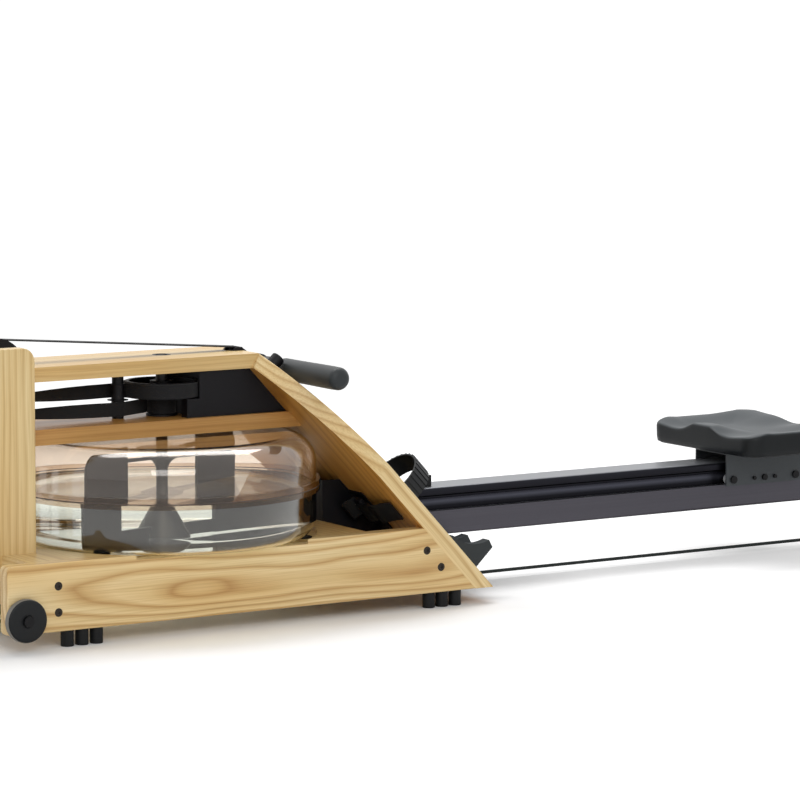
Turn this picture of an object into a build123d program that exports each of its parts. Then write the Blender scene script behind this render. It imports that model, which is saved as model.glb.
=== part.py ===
from build123d import *
from math import acos, atan2, cos, degrees, hypot, radians, sin
import os

# Water-resistance rowing machine with an ash frame, all sizes in millimetres.
# X runs along the machine, +X towards the seat's far end. +Y is the rower's right, +Z is up,
# and the floor is Z = 0. "left" is the -Y side and "right" the +Y side.
# The water tank stands over the front of the frame and the seat runs on one central rail.

os.makedirs("parts", exist_ok=True)
sides = ((-1, "left"), (1, "right"))

# ---------------------------------------------------------------- driving dimensions: frame
overall_length = 2120.0  # front of the transport wheels to the back of the rear leg
base_width = 414.0  # over the outer faces of the two base rails
rail_height = 114.0
rail_thickness = 25.0
rail_nose_length = 404.0  # rail's front end ahead of the tank's axis
rail_corner_radius = 8.0
deck_width = 144.0
top_deck_top = 446.0  # above the floor
top_deck_thickness = 24.5
mid_deck_top = 342.0
mid_deck_thickness = 26.5
board_thickness = 28.0
board_angle = 46.8  # footboard above the horizontal, degrees
board_tank_overlap = 118.5  # board's top edge ahead of the tank's rearmost point
flare_length = 262.0  # length of the board's curved sides, down the slope
flare_bulge = 28.0  # how far the curved side stands out from its chord
post_width = 95.0
post_thickness = 20.0
post_top = 482.0
post_bottom = 60.0
post_corner_radius = 24.0
post_setback = 19.0  # post's front edge behind the rail's front end
plank_thickness = 24.0
front_plank_setback = 49.0  # front plank behind the rail's front end
front_plank_width = 170.0
rear_plank_width = 110.0
timber_ease = 2.5  # rounding of the timber's long edges
leg_thickness = 28.0
leg_top = 205.0
leg_top_width = 150.0
leg_base_width = 330.0
leg_corner_radius = 20.0
foot_height = 27.0  # rubber buffers under the timber
foot_radius = 11.0
foot_pitch = 27.0
feet_per_row = 3
front_feet_setback = 142.0  # middle of the row behind the rail's front end
rear_feet_ahead = 62.0  # middle of the row ahead of the rail's rear corner
leg_feet_spacing = 250.0
foot_chamfer = 1.0

# ---------------------------------------------------------------- driving dimensions: wheels and screws
wheel_radius = 36.0
wheel_width = 15.0
wheel_edge_radius = 3.0
wheel_centre_height = 52.0
wheel_setback = 29.0  # wheel's axle behind the rail's front end
wheel_gap = 1.0  # between rail and wheel
wheel_bolt_radius = 5.0
wheel_bolt_head_radius = 9.0
wheel_bolt_head_height = 4.0
screw_head_radius = 7.2
screw_head_depth = 3.0
screw_shank_radius = 3.0
screw_socket_radius = 3.6
front_screw_setback = 93.0
front_screw_heights = (32.0, 75.5)  # above the rail's bottom
joint_screw_heights = (44.0, 75.0)
joint_screw_inset = 30.0  # ahead of the board's underside
axle_cover = 8.0  # timber left between an axle's end and the post's outer face

# ---------------------------------------------------------------- driving dimensions: tank
tank_radius = 270.0  # over the flange
tank_flange_width = 6.0  # how far the flange stands out of the wall
tank_wall = 4.0
tank_recess = 8.0  # how far the tank is let into the rails and planks
tank_pad_thickness = 2.5
tank_pad_radius = 15.0
tank_flange_thickness = 8.5
tank_gasket_thickness = 2.0
bowl_height = 89.0  # bottom of the bowl to the top of its flange
bowl_corner_radius = 32.0
lid_height = 85.5  # bottom of the lid's flange to its top
lid_corner_radius = 50.0
shaft_radius = 10.0
bowl_boss_radius = 20.0
bowl_boss_height = 3.0
bearing_radius = 16.0
bearing_lid_height = 2.5
trumpet_radius = 44.0
trumpet_height = 34.0
trumpet_drop = 25.0  # trumpet's top under the lid
hub_radius = 36.0
hub_rim = 4.0
hub_height = 62.0
blade_inner_radius = 107.0
blade_tip_clearance = 32.0  # between the blades' ends and the bowl's wall
blade_thickness = 5.0
blade_corner_radius = 30.0  # outer top corner
blade_foot_radius = 8.0  # outer bottom corner
blade_clearance = 3.0  # over the bowl's bottom
blade_top_clearance = 12.0  # under the lid
blade_arm_height = 20.0
blade_upper_arm_height = 8.0
blade_axis_angle = 27.0  # line through both blades from X at rest, degrees
plug_radius = 16.0
plug_height = 14.0
plug_head_radius = 21.6
plug_edge_radius = 3.0
plug_inset = 80.0  # plug's axis inside the tank's wall
plug_direction = 108.5  # of the plug from the tank's axis, degrees from X

# ---------------------------------------------------------------- driving dimensions: strap drive
strap_width = 24.0
strap_thickness = 2.0
drum_radius = 62.0
drum_rim = 6.0
drum_height = 27.0
drum_bottom = 375.0
spoke_count = 6
spoke_width = 8.0
spoke_height = 8.0
spool_radius = 20.0
spool_flange_radius = 27.0
spool_flange_thickness = 3.0
front_pulley_radius = 49.6
front_pulley_setback = 82.0  # its axle behind the rail's front end
front_pulley_height = 438.0
recoil_pulley_radius = 21.6
recoil_pulley_setback = 59.0
recoil_pulley_height = 337.0
pulley_flange = 4.0  # flanges above the groove's bottom
pulley_flange_thickness = 2.0
pulley_axle_radius = 6.0
guide_ahead = 85.0  # guide roller ahead of the tank's axis
guide_roller_radius = 11.0
guide_pin_radius = 5.0
guide_collar_radius = 18.0
strap_roller_radius = 11.0
strap_roller_ahead = 5.5  # ahead of the board's top edge
strap_roller_drop = 7.0  # its centre under the deck's top
strap_roller_pin_radius = 2.5
strap_guide_half_length = 16.0
strap_guide_depth = 22.0
strap_guide_cheek = 3.5
cord_radius = 3.0
cord_height = 14.5  # cord's centreline above the floor
cord_top = 205.0  # where the cord starts, under the recoil strap
strap_end_length = 22.0  # stitched ferrule that joins strap and cord
strap_end_radius = 7.0
bracket_sheet = 3.0
anchor_width = 24.0
anchor_length = 14.0
anchor_height = 48.0
anchor_edge_radius = 3.0
housing_front = 39.0  # guide housing's front face behind the tank's axis
housing_width = 124.0
housing_step_length = 24.0
housing_step_height = 32.0
housing_step_width = 20.0

# ---------------------------------------------------------------- driving dimensions: handle and footrests
peg_radius = 12.0
peg_height = 27.0
peg_edge_radius = 2.5
peg_down_slope = 40.0
peg_spacing = 116.0
grip_radius = 20.0
grip_start = 40.0
grip_end = 227.0
bar_radius = 11.0
clamp_width = 70.0
clamp_length = 34.0
clamp_height = 30.0
clamp_corner_radius = 6.0
handle_stand_off = 27.0  # bar's axis off the tread face
footrest_spacing = 216.0  # between the two footrests' centres
footplate_width = 104.0
footplate_thickness = 6.0
footplate_corner_radius = 12.0
footplate_top = 288.0  # down the slope from the board's top edge
footplate_length = 214.0
heel_width = 88.0
heel_top = 478.0  # cup's upper end, down the slope from the board's top edge
heel_back = 555.0  # cup's lower end
heel_wall = 5.0
heel_front_rise = 24.0  # cup's height off the tread face at its upper end
heel_back_rise = 70.0  # and at its lower end
heel_curve_rise = 41.0
heel_curve_length = 36.0  # lowest part of the curved rim ahead of the cup's lower end
heel_ear_width = 20.0  # raised end of the rim at each side of the cup
heel_middle_rise = 46.0  # rim's height between the ears
heel_middle_curve_rise = 36.0
heel_lip_length = 15.0
heel_lip_rise = 4.0
foot_strap_down_slope = 350.0
foot_strap_width = 38.0
foot_strap_thickness = 3.0
foot_strap_span = 100.0
foot_strap_rise = 72.0

# ---------------------------------------------------------------- driving dimensions: seat and its rail
monorail_width = 70.0
monorail_height = 86.0
monorail_bottom = 96.0
monorail_tank_gap = 30.0  # monorail's front end behind the tank
monorail_corner = 5.0
groove_bottom = 44.0  # above the monorail's bottom
groove_height = 28.5
groove_depth = 12.0
bead_radius = 3.5
monorail_wall = 4.0
bracket_top = 212.0
bracket_cheek = 5.0
bracket_wing = 45.0
bracket_bolt_radius = 4.0
bracket_bolt_head_radius = 8.0
bracket_bolt_head_height = 5.0
bracket_bolt_grip = 16.0  # length of the bolts in the timber
leg_bracket_length = 60.0
leg_bracket_drop = 34.0
leg_bracket_bolt_inset = 15.0
leg_bracket_bolt_drop = 20.4
wing_bolt_shares = (0.25, 0.75)  # along the wing
stop_length = 16.0
stop_height = 20.0  # tall enough to meet the seat carriage
stop_width = 42.0
stop_corner_radius = 4.0
front_stop_setback = 230.0  # front seat stop behind the monorail's front end
back_stop_ahead = 30.0  # rear seat stop ahead of the rear leg
seat_centre = 1261.0  # behind the tank's axis
seat_length = 230.0
seat_width = 314.0
seat_height = 46.0
seat_corner_radius = 22.0
seat_bottom = 203.0
carriage_length = 177.0
carriage_width = 96.0
carriage_bottom = 138.0
carriage_sheet = 3.0
seat_axle_spacing = 145.0
seat_roller_radius = 9.3
seat_roller_width = 15.0
seat_axle_radius = 4.0
seat_bolt_head_radius = 7.0
seat_bolt_head_height = 4.0
plate_bolt_spacing = 24.0
plate_bolt_head_radius = 3.5
middle_bolt_head_radius = 5.6
seat_edge_radius = 7.0
seat_dish_radius = 420.0
seat_dish_depth = 14.0
seat_dish_shift = 17.8  # dish behind the seat's centre
thigh_spacing = 150.0
thigh_radius = 75.0
thigh_depth = 17.0
thigh_rise = 9.0  # channel's climb towards the back, degrees

# ---------------------------------------------------------------- fits
running_clearance = 0.05  # shaft in its bore, on the radius
pass_clearance = 0.4  # faces of different bodies that only pass each other
slot_clearance = 1.0  # timber slots round the parts that pass through them
slot_side_room = 3.0  # slots round the pulleys, on each side

# ---------------------------------------------------------------- places worked out from the sizes
front_x = -overall_length / 2
back_x = overall_length / 2
rail_front_x = front_x + wheel_radius - wheel_setback
tank_x = rail_front_x + rail_nose_length
wheel_x = rail_front_x + wheel_setback
rail_top = foot_height + rail_height
half_base = base_width / 2
rail_inner = half_base - rail_thickness
half_deck = deck_width / 2
mid_deck_bottom = mid_deck_top - mid_deck_thickness
top_deck_bottom = top_deck_top - top_deck_thickness
post_x = rail_front_x + post_setback
post_outer = half_deck + post_thickness
front_plank_x = rail_front_x + front_plank_setback
plank_bottom = rail_top - plank_thickness
leg_front_x = back_x - leg_thickness
monorail_top = monorail_bottom + monorail_height
monorail_x = tank_x + tank_radius + monorail_tank_gap
seat_x = tank_x + seat_centre
groove_floor = monorail_bottom + groove_bottom
tank_wall_radius = tank_radius - tank_flange_width
tank_seat_z = rail_top - tank_recess
tank_bottom = tank_seat_z + tank_pad_thickness
bowl_top = tank_bottom + bowl_height
lid_bottom = bowl_top + tank_gasket_thickness
lid_top = lid_bottom + lid_height
front_pulley_x = rail_front_x + front_pulley_setback
recoil_pulley_x = rail_front_x + recoil_pulley_setback
guide_x = tank_x - guide_ahead

# The board's own plane: x runs down the slope, y is the machine's Y, z stands out of the tread face.
slope_run = cos(radians(board_angle))
slope_fall = sin(radians(board_angle))
board_length = (top_deck_top - foot_height) / slope_fall
board_top_x = tank_x + tank_radius - board_tank_overlap
tread = Plane(
    origin=(board_top_x, 0, top_deck_top),
    x_dir=(slope_run, 0, -slope_fall),
    z_dir=(slope_fall, 0, slope_run),
)


def on_tread(along, across, out):
    """A point given down the slope, across and out of the tread face, in the machine's frame."""
    return tread.from_local_coords(Vector(along, across, out))


def board_back_x(z):
    """X of the board's underside at height z."""
    drop = (top_deck_top - z) / slope_fall * slope_run
    return board_top_x + drop - board_thickness / slope_fall


def facing(side, x, distance, z):
    """Plane at one point of a side face, facing outwards."""
    return Plane(origin=(x, side * distance, z), x_dir=(1, 0, 0), z_dir=(0, side, 0))


def outer_tangent(first, first_radius, second, second_radius):
    """Ends of the line that touches the upper sides of two circles, and its normal's angle."""
    run = second[0] - first[0]
    rise = second[1] - first[1]
    span = hypot(run, rise)
    angle = atan2(rise, run) + acos((first_radius - second_radius) / span)
    start = (first[0] + first_radius * cos(angle), first[1] + first_radius * sin(angle))
    end = (second[0] + second_radius * cos(angle), second[1] + second_radius * sin(angle))
    return start, end, degrees(angle)


def inner_tangent(first, first_radius, second, second_radius):
    """Ends of the line that crosses between two circles, from the first one's upper side."""
    run = second[0] - first[0]
    rise = second[1] - first[1]
    angle = atan2(rise, run) + acos((first_radius + second_radius) / hypot(run, rise))
    start = (first[0] + first_radius * cos(angle), first[1] + first_radius * sin(angle))
    end = (second[0] - second_radius * cos(angle), second[1] - second_radius * sin(angle))
    return start, end, degrees(angle)


# ---------------------------------------------------------------- base rails
def screw_places(side):
    """Planes of the screw heads in a rail's outer face."""
    places = []
    for rise in front_screw_heights:
        x = rail_front_x + front_screw_setback
        places.append(facing(side, x, half_base, foot_height + rise))
    for rise in joint_screw_heights:
        z = foot_height + rise
        places.append(facing(side, board_back_x(z) - joint_screw_inset, half_base, z))
    return places


# The round recess that the tank stands in.
with BuildPart() as tank_seat:
    with BuildSketch(Plane(origin=(tank_x, 0, tank_seat_z))):
        Circle(tank_wall_radius + slot_clearance)
    extrude(amount=2 * tank_recess)

for side, name in sides:
    with BuildPart() as base_rail:
        with BuildSketch(Plane.XZ.offset(-side * half_base)):
            Polygon(
                (rail_front_x, foot_height),
                (rail_front_x, rail_top),
                (board_back_x(rail_top), rail_top),
                (board_back_x(foot_height), foot_height),
                align=None,
            )
        extrude(amount=side * rail_thickness)
        fillet(base_rail.edges().filter_by(Axis.Y).group_by(Axis.X)[0], rail_corner_radius)
        outer_face = base_rail.faces().sort_by(Axis.Y)[-1 if side > 0 else 0]
        fillet(outer_face.edges().filter_by(Axis.X), timber_ease)
        with Locations(*screw_places(side)):
            CounterBoreHole(screw_shank_radius, screw_head_radius, screw_head_depth, rail_thickness)
        with Locations(facing(side, wheel_x, half_base, wheel_centre_height)):
            Hole(wheel_bolt_radius, rail_thickness)
        add(tank_seat.part, mode=Mode.SUBTRACT)
    base_rail.part.label = f"base_rail_{name}"
    export_step(base_rail.part, f"parts/base_rail_{name}.step")

# ---------------------------------------------------------------- bolts that hold the monorail
# Places of the bolt holes in the timber: four under the footboard and two in the rear leg's face,
# and two in the monorail's underside. Each plane faces out of the surface it lies on.
cheek_outer_y = monorail_width / 2 + bracket_cheek
wing_outer_y = cheek_outer_y + bracket_wing
wing_top_along = (top_deck_top - bracket_top) / slope_fall
wing_bottom_along = (top_deck_top - monorail_bottom) / slope_fall
leg_bolt_y = monorail_width / 2 - leg_bracket_bolt_inset
wing_bolts = []
leg_bolts = []
rail_bolts = []
for side, name in sides:
    for share in wing_bolt_shares:
        along = wing_top_along + (wing_bottom_along - wing_top_along) * share
        place = on_tread(along, side * (cheek_outer_y + bracket_wing / 2), -board_thickness)
        wing_bolts.append(Plane(origin=place, z_dir=-tread.z_dir))
    place = Vector(leg_front_x, side * leg_bolt_y, monorail_bottom - leg_bracket_bolt_drop)
    leg_bolts.append(Plane(origin=place, z_dir=(-1, 0, 0)))
    place = Vector(leg_front_x - leg_bracket_length / 2, side * leg_bolt_y, monorail_bottom)
    rail_bolts.append(Plane(origin=place, z_dir=(0, 0, -1)))

# ---------------------------------------------------------------- footboard
mitre_inner_x = board_back_x(top_deck_bottom)
strap_roller_x = board_top_x - strap_roller_ahead
strap_roller_z = top_deck_top - strap_roller_drop
notch_half_width = strap_width / 2 + slot_clearance + strap_guide_cheek


# Notch for the strap guide, in the end of the top deck and the top of the board.
with BuildPart(Plane(origin=(strap_roller_x, 0, strap_roller_z))) as strap_notch:
    Box(2 * strap_guide_half_length, 2 * notch_half_width, 2 * (strap_guide_depth - strap_roller_drop))

flare_middle = (
    flare_length / 3,
    half_deck + (half_base - half_deck) / 3 + flare_bulge * 8 / 9,
)
# The blank lies in the board's own plane, so that its eased edges don't depend on where it stands.
with BuildPart() as board_blank:
    with BuildSketch():
        with BuildLine():
            Line((0, -half_deck), (0, half_deck))
            ThreePointArc((0, half_deck), flare_middle, (flare_length, half_base))
            Polyline(
                (flare_length, half_base),
                (board_length, half_base),
                (board_length, -half_base),
                (flare_length, -half_base),
            )
            ThreePointArc(
                (flare_length, -half_base), (flare_middle[0], -flare_middle[1]), (0, -half_deck)
            )
        make_face()
    extrude(amount=-board_thickness)
    fillet(board_blank.faces().sort_by(Axis.Z)[-1].edges(), timber_ease)

with BuildPart() as footboard:
    add(board_blank.part.moved(tread.location))
    with BuildSketch(Plane.XZ):
        Polygon(
            (board_top_x, top_deck_top),
            (mitre_inner_x, top_deck_bottom),
            (mitre_inner_x - board_thickness, top_deck_bottom),
            (mitre_inner_x - board_thickness, top_deck_top),
            align=None,
        )
        with Locations((board_top_x + board_length, foot_height / 2)):
            Rectangle(2 * board_length, foot_height)
    extrude(amount=base_width, both=True, mode=Mode.SUBTRACT)
    with BuildSketch(Plane.YZ.offset(monorail_x)):
        with Locations((0, monorail_bottom + monorail_height / 2)):
            Rectangle(monorail_width + 2 * slot_clearance, monorail_height + 2 * slot_clearance)
    extrude(amount=overall_length, mode=Mode.SUBTRACT)
    add(strap_notch.part, mode=Mode.SUBTRACT)
    with Locations(*wing_bolts):
        Hole(bracket_bolt_radius, bracket_bolt_grip)
footboard.part.label = "footboard"
export_step(footboard.part, "parts/footboard.step")

# ---------------------------------------------------------------- decks
front_slot_length = front_pulley_x + front_pulley_radius + 2 * pulley_flange + slot_side_room - post_x
slot_width = strap_width + 2 * pulley_flange_thickness + 2 * slot_clearance + 2 * slot_side_room
recoil_slot_length = recoil_pulley_x + recoil_pulley_radius + 2 * pulley_flange + slot_side_room - post_x

# The two pulley axles run through the posts and the decks.
pulley_axles = ((front_pulley_x, front_pulley_height), (recoil_pulley_x, recoil_pulley_height))
# Each deck's name, top, underside, the length of the slot round its pulley, and the pulley's axle.
decks = (
    ("top_deck", top_deck_top, top_deck_bottom, front_slot_length, pulley_axles[0]),
    ("mid_deck", mid_deck_top, mid_deck_bottom, recoil_slot_length, pulley_axles[1]),
)
for name, top, bottom, slot_length, axle in decks:
    end_x = board_top_x if name == "top_deck" else board_back_x(top)
    with BuildPart() as deck:
        with BuildSketch(Plane.XZ):
            Polygon(
                (post_x, top),
                (end_x, top),
                (board_back_x(bottom), bottom),
                (post_x, bottom),
                align=None,
            )
        extrude(amount=half_deck, both=True)
        with Locations((post_x + slot_length / 2, 0, (top + bottom) / 2)):
            Box(slot_length, slot_width, 2 * (top - bottom), mode=Mode.SUBTRACT)
        with Locations((tank_x, 0, top)):
            Hole(bearing_radius, 2 * (top - bottom))
        with Locations(facing(1, axle[0], half_deck, axle[1])):
            Hole(pulley_axle_radius, deck_width)
        if name == "top_deck":
            add(strap_notch.part, mode=Mode.SUBTRACT)
    deck.part.label = name
    export_step(deck.part, f"parts/{name}.step")

# ---------------------------------------------------------------- front posts
for side, name in sides:
    with BuildPart() as front_post:
        with BuildSketch(Plane.XZ.offset(-side * half_deck)):
            with Locations((post_x + post_width / 2, (post_top + post_bottom) / 2)):
                outline = Rectangle(post_width, post_top - post_bottom)
            fillet(outline.vertices().group_by(Axis.Z)[-1], post_corner_radius)
        extrude(amount=-side * post_thickness)
        outer_face = front_post.faces().sort_by(Axis.Y)[-1 if side > 0 else 0]
        fillet(outer_face.edges(), timber_ease)
        for x, z in pulley_axles:
            with BuildSketch(facing(side, x, half_deck, z)):
                Circle(pulley_axle_radius)
            extrude(amount=post_thickness - axle_cover, mode=Mode.SUBTRACT)
    front_post.part.label = f"front_post_{name}"
    export_step(front_post.part, f"parts/front_post_{name}.step")

# ---------------------------------------------------------------- cross planks
plank_pad_inset = 74.0  # tank pads on the planks inside the tank's foremost and rearmost points
plank_pad_x = tank_radius - plank_pad_inset
plank_pad_y = 142.0

with BuildPart() as front_plank:
    with BuildSketch(Plane.XY.offset(plank_bottom)):
        with Locations((front_plank_x + front_plank_width / 2, 0)):
            Rectangle(front_plank_width, 2 * rail_inner)
        for side, name in sides:
            with Locations((post_x + post_width / 2, side * (half_deck + post_thickness / 2))):
                Rectangle(post_width, post_thickness, mode=Mode.SUBTRACT)
    extrude(amount=plank_thickness)
    add(tank_seat.part, mode=Mode.SUBTRACT)
front_plank.part.label = "front_plank"
export_step(front_plank.part, "parts/front_plank.step")

with BuildPart() as rear_plank:
    with BuildSketch(Plane.XY.offset(plank_bottom)):
        with Locations((monorail_x - bracket_sheet - rear_plank_width / 2, 0)):
            Rectangle(rear_plank_width, 2 * rail_inner)
    extrude(amount=plank_thickness)
    add(tank_seat.part, mode=Mode.SUBTRACT)
rear_plank.part.label = "rear_plank"
export_step(rear_plank.part, "parts/rear_plank.step")

# ---------------------------------------------------------------- rear leg
with BuildPart() as rear_leg:
    with BuildSketch(Plane.YZ.offset(leg_front_x)):
        leg_outline = Polygon(
            (-leg_base_width / 2, foot_height),
            (leg_base_width / 2, foot_height),
            (leg_top_width / 2, leg_top),
            (-leg_top_width / 2, leg_top),
            align=None,
        )
        fillet(leg_outline.vertices().group_by(Axis.Y)[-1], leg_corner_radius)
    extrude(amount=leg_thickness)
    fillet(rear_leg.faces().sort_by(Axis.X)[-1].edges(), timber_ease)
    with Locations(*leg_bolts):
        Hole(bracket_bolt_radius, bracket_bolt_grip)
rear_leg.part.label = "rear_leg"
export_step(rear_leg.part, "parts/rear_leg.step")

# ---------------------------------------------------------------- rubber feet
foot_y = half_base - rail_thickness / 2
front_row_x = rail_front_x + front_feet_setback
rear_row_x = board_back_x(foot_height) - rear_feet_ahead
foot_places = []
for side, name in sides:
    for row_x in (front_row_x, rear_row_x):
        for index in range(feet_per_row):
            foot_places.append((row_x + (index - (feet_per_row - 1) / 2) * foot_pitch, side * foot_y))
    foot_places.append((leg_front_x + leg_thickness / 2, side * leg_feet_spacing / 2))

with BuildPart() as rubber_feet:
    with BuildSketch():
        with Locations(*foot_places):
            Circle(foot_radius)
    extrude(amount=foot_height)
    chamfer(rubber_feet.edges().group_by(Axis.Z)[0], foot_chamfer)
rubber_feet.part.label = "rubber_feet"
export_step(rubber_feet.part, "parts/rubber_feet.step")

# ---------------------------------------------------------------- transport wheels
wheel_inner = half_base + wheel_gap
wheel_outer = wheel_inner + wheel_width
for side, name in sides:
    with BuildPart() as wheel:
        with BuildSketch(facing(side, wheel_x, wheel_inner, wheel_centre_height)):
            Circle(wheel_radius)
            Circle(wheel_bolt_radius + running_clearance, mode=Mode.SUBTRACT)
        extrude(amount=wheel_width)
        fillet(wheel.edges().filter_by(GeomType.CIRCLE).sort_by(SortBy.RADIUS)[-2:], wheel_edge_radius)
    wheel.part.label = f"transport_wheel_{name}"
    export_step(wheel.part, f"parts/transport_wheel_{name}.step")

with BuildPart() as wheel_bolts:
    for side, name in sides:
        with BuildSketch(facing(side, wheel_x, rail_inner, wheel_centre_height)):
            Circle(wheel_bolt_radius)
        extrude(amount=wheel_outer + pass_clearance - rail_inner)
        with BuildSketch(facing(side, wheel_x, wheel_outer + pass_clearance, wheel_centre_height)):
            Circle(wheel_bolt_head_radius)
        extrude(amount=wheel_bolt_head_height)
wheel_bolts.part.label = "wheel_bolts"
export_step(wheel_bolts.part, "parts/wheel_bolts.step")

# ---------------------------------------------------------------- frame screws
with BuildPart() as frame_screws:
    for side, name in sides:
        for plane in screw_places(side):
            with BuildSketch(plane.offset(-screw_head_depth)):
                Circle(screw_head_radius)
            extrude(amount=screw_head_depth)
            with BuildSketch(plane.offset(-screw_head_depth)):
                Circle(screw_shank_radius)
            extrude(amount=screw_head_depth - rail_thickness)
            with BuildSketch(plane):
                RegularPolygon(screw_socket_radius, 6)
            extrude(amount=-screw_head_depth / 2, mode=Mode.SUBTRACT)
frame_screws.part.label = "frame_screws"
export_step(frame_screws.part, "parts/frame_screws.step")

# ---------------------------------------------------------------- tank
tank_axis = Plane.XZ.move(Location((tank_x, 0, 0)))
shaft_axis = Axis((tank_x, 0, 0), (0, 0, 1))
bowl_inner = tank_wall_radius - tank_wall
lid_flange_top = lid_bottom + tank_flange_thickness
plug_reach = tank_wall_radius - plug_inset
plug_x = tank_x + plug_reach * cos(radians(plug_direction))
plug_y = plug_reach * sin(radians(plug_direction))

with BuildPart() as tank_bowl:
    with BuildSketch(tank_axis):
        with BuildLine():
            Polyline(
                (tank_radius, bowl_top - tank_flange_thickness),
                (tank_radius, bowl_top),
                (bowl_inner, bowl_top),
                (bowl_inner, tank_bottom + bowl_corner_radius),
            )
            RadiusArc(
                (bowl_inner, tank_bottom + bowl_corner_radius),
                (tank_wall_radius - bowl_corner_radius, tank_bottom + tank_wall),
                bowl_corner_radius - tank_wall,
            )
            Polyline(
                (tank_wall_radius - bowl_corner_radius, tank_bottom + tank_wall),
                (bowl_boss_radius, tank_bottom + tank_wall),
                (bowl_boss_radius, tank_bottom + tank_wall + bowl_boss_height),
                (shaft_radius + running_clearance, tank_bottom + tank_wall + bowl_boss_height),
                (shaft_radius + running_clearance, tank_bottom + tank_wall),
                (0, tank_bottom + tank_wall),
                (0, tank_bottom),
                (tank_wall_radius - bowl_corner_radius, tank_bottom),
            )
            RadiusArc(
                (tank_wall_radius - bowl_corner_radius, tank_bottom),
                (tank_wall_radius, tank_bottom + bowl_corner_radius),
                -bowl_corner_radius,
            )
            Polyline(
                (tank_wall_radius, tank_bottom + bowl_corner_radius),
                (tank_wall_radius, bowl_top - tank_flange_thickness),
                (tank_radius, bowl_top - tank_flange_thickness),
            )
        make_face()
    revolve(axis=shaft_axis)
tank_bowl.part.label = "tank_bowl"
export_step(tank_bowl.part, "parts/tank_bowl.step")

with BuildPart() as tank_lid:
    with BuildSketch(tank_axis):
        with BuildLine():
            Polyline(
                (tank_radius, lid_flange_top),
                (tank_radius, lid_bottom),
                (bowl_inner, lid_bottom),
                (bowl_inner, lid_top - lid_corner_radius),
            )
            RadiusArc(
                (bowl_inner, lid_top - lid_corner_radius),
                (tank_wall_radius - lid_corner_radius, lid_top - tank_wall),
                -(lid_corner_radius - tank_wall),
            )
            Polyline(
                (tank_wall_radius - lid_corner_radius, lid_top - tank_wall),
                (bearing_radius, lid_top - tank_wall),
                (bearing_radius, lid_top),
                (tank_wall_radius - lid_corner_radius, lid_top),
            )
            RadiusArc(
                (tank_wall_radius - lid_corner_radius, lid_top),
                (tank_wall_radius, lid_top - lid_corner_radius),
                lid_corner_radius,
            )
            Polyline(
                (tank_wall_radius, lid_top - lid_corner_radius),
                (tank_wall_radius, lid_flange_top),
                (tank_radius, lid_flange_top),
            )
        make_face()
    revolve(axis=shaft_axis)
    with Locations((plug_x, plug_y, lid_top)):
        Hole(plug_radius + running_clearance, 2 * tank_wall)
tank_lid.part.label = "tank_lid"
export_step(tank_lid.part, "parts/tank_lid.step")

with BuildPart() as tank_gasket:
    with BuildSketch(Plane(origin=(tank_x, 0, bowl_top))):
        Circle(tank_radius)
        Circle(bowl_inner, mode=Mode.SUBTRACT)
    extrude(amount=tank_gasket_thickness)
tank_gasket.part.label = "tank_gasket"
export_step(tank_gasket.part, "parts/tank_gasket.step")

with BuildPart() as fill_plug:
    with BuildSketch(Plane(origin=(plug_x, plug_y, lid_top - tank_wall))):
        Circle(plug_radius)
    extrude(amount=tank_wall)
    with BuildSketch(Plane(origin=(plug_x, plug_y, lid_top))):
        Circle(plug_head_radius)
    extrude(amount=plug_height)
    fillet(fill_plug.edges().group_by(Axis.Z)[-1], plug_edge_radius)
fill_plug.part.label = "fill_plug"
export_step(fill_plug.part, "parts/fill_plug.step")

pad_places = [(tank_x, side * foot_y) for side, name in sides]
for side, name in sides:
    pad_places += [(tank_x - plank_pad_x, side * plank_pad_y), (tank_x + plank_pad_x, side * plank_pad_y)]
with BuildPart() as tank_pads:
    with BuildSketch(Plane.XY.offset(tank_seat_z)):
        with Locations(*pad_places[:2]):
            Circle(rail_thickness / 2 - timber_ease)
        with Locations(*pad_places[2:]):
            Circle(tank_pad_radius)
    extrude(amount=tank_pad_thickness)
tank_pads.part.label = "tank_pads"
export_step(tank_pads.part, "parts/tank_pads.step")

# ---------------------------------------------------------------- paddle and its shaft
shaft_bottom = tank_bottom + tank_wall + slot_clearance
shaft_top = top_deck_top - slot_clearance
blade_bottom = tank_bottom + tank_wall + blade_clearance
blade_top = lid_top - tank_wall - blade_top_clearance
blade_outer_radius = bowl_inner - blade_tip_clearance
hub_bottom = tank_bottom + tank_wall + bowl_boss_height + slot_clearance
blade_middle = (blade_inner_radius + blade_outer_radius) / 2
trumpet_top = lid_top - tank_wall - trumpet_drop

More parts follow.
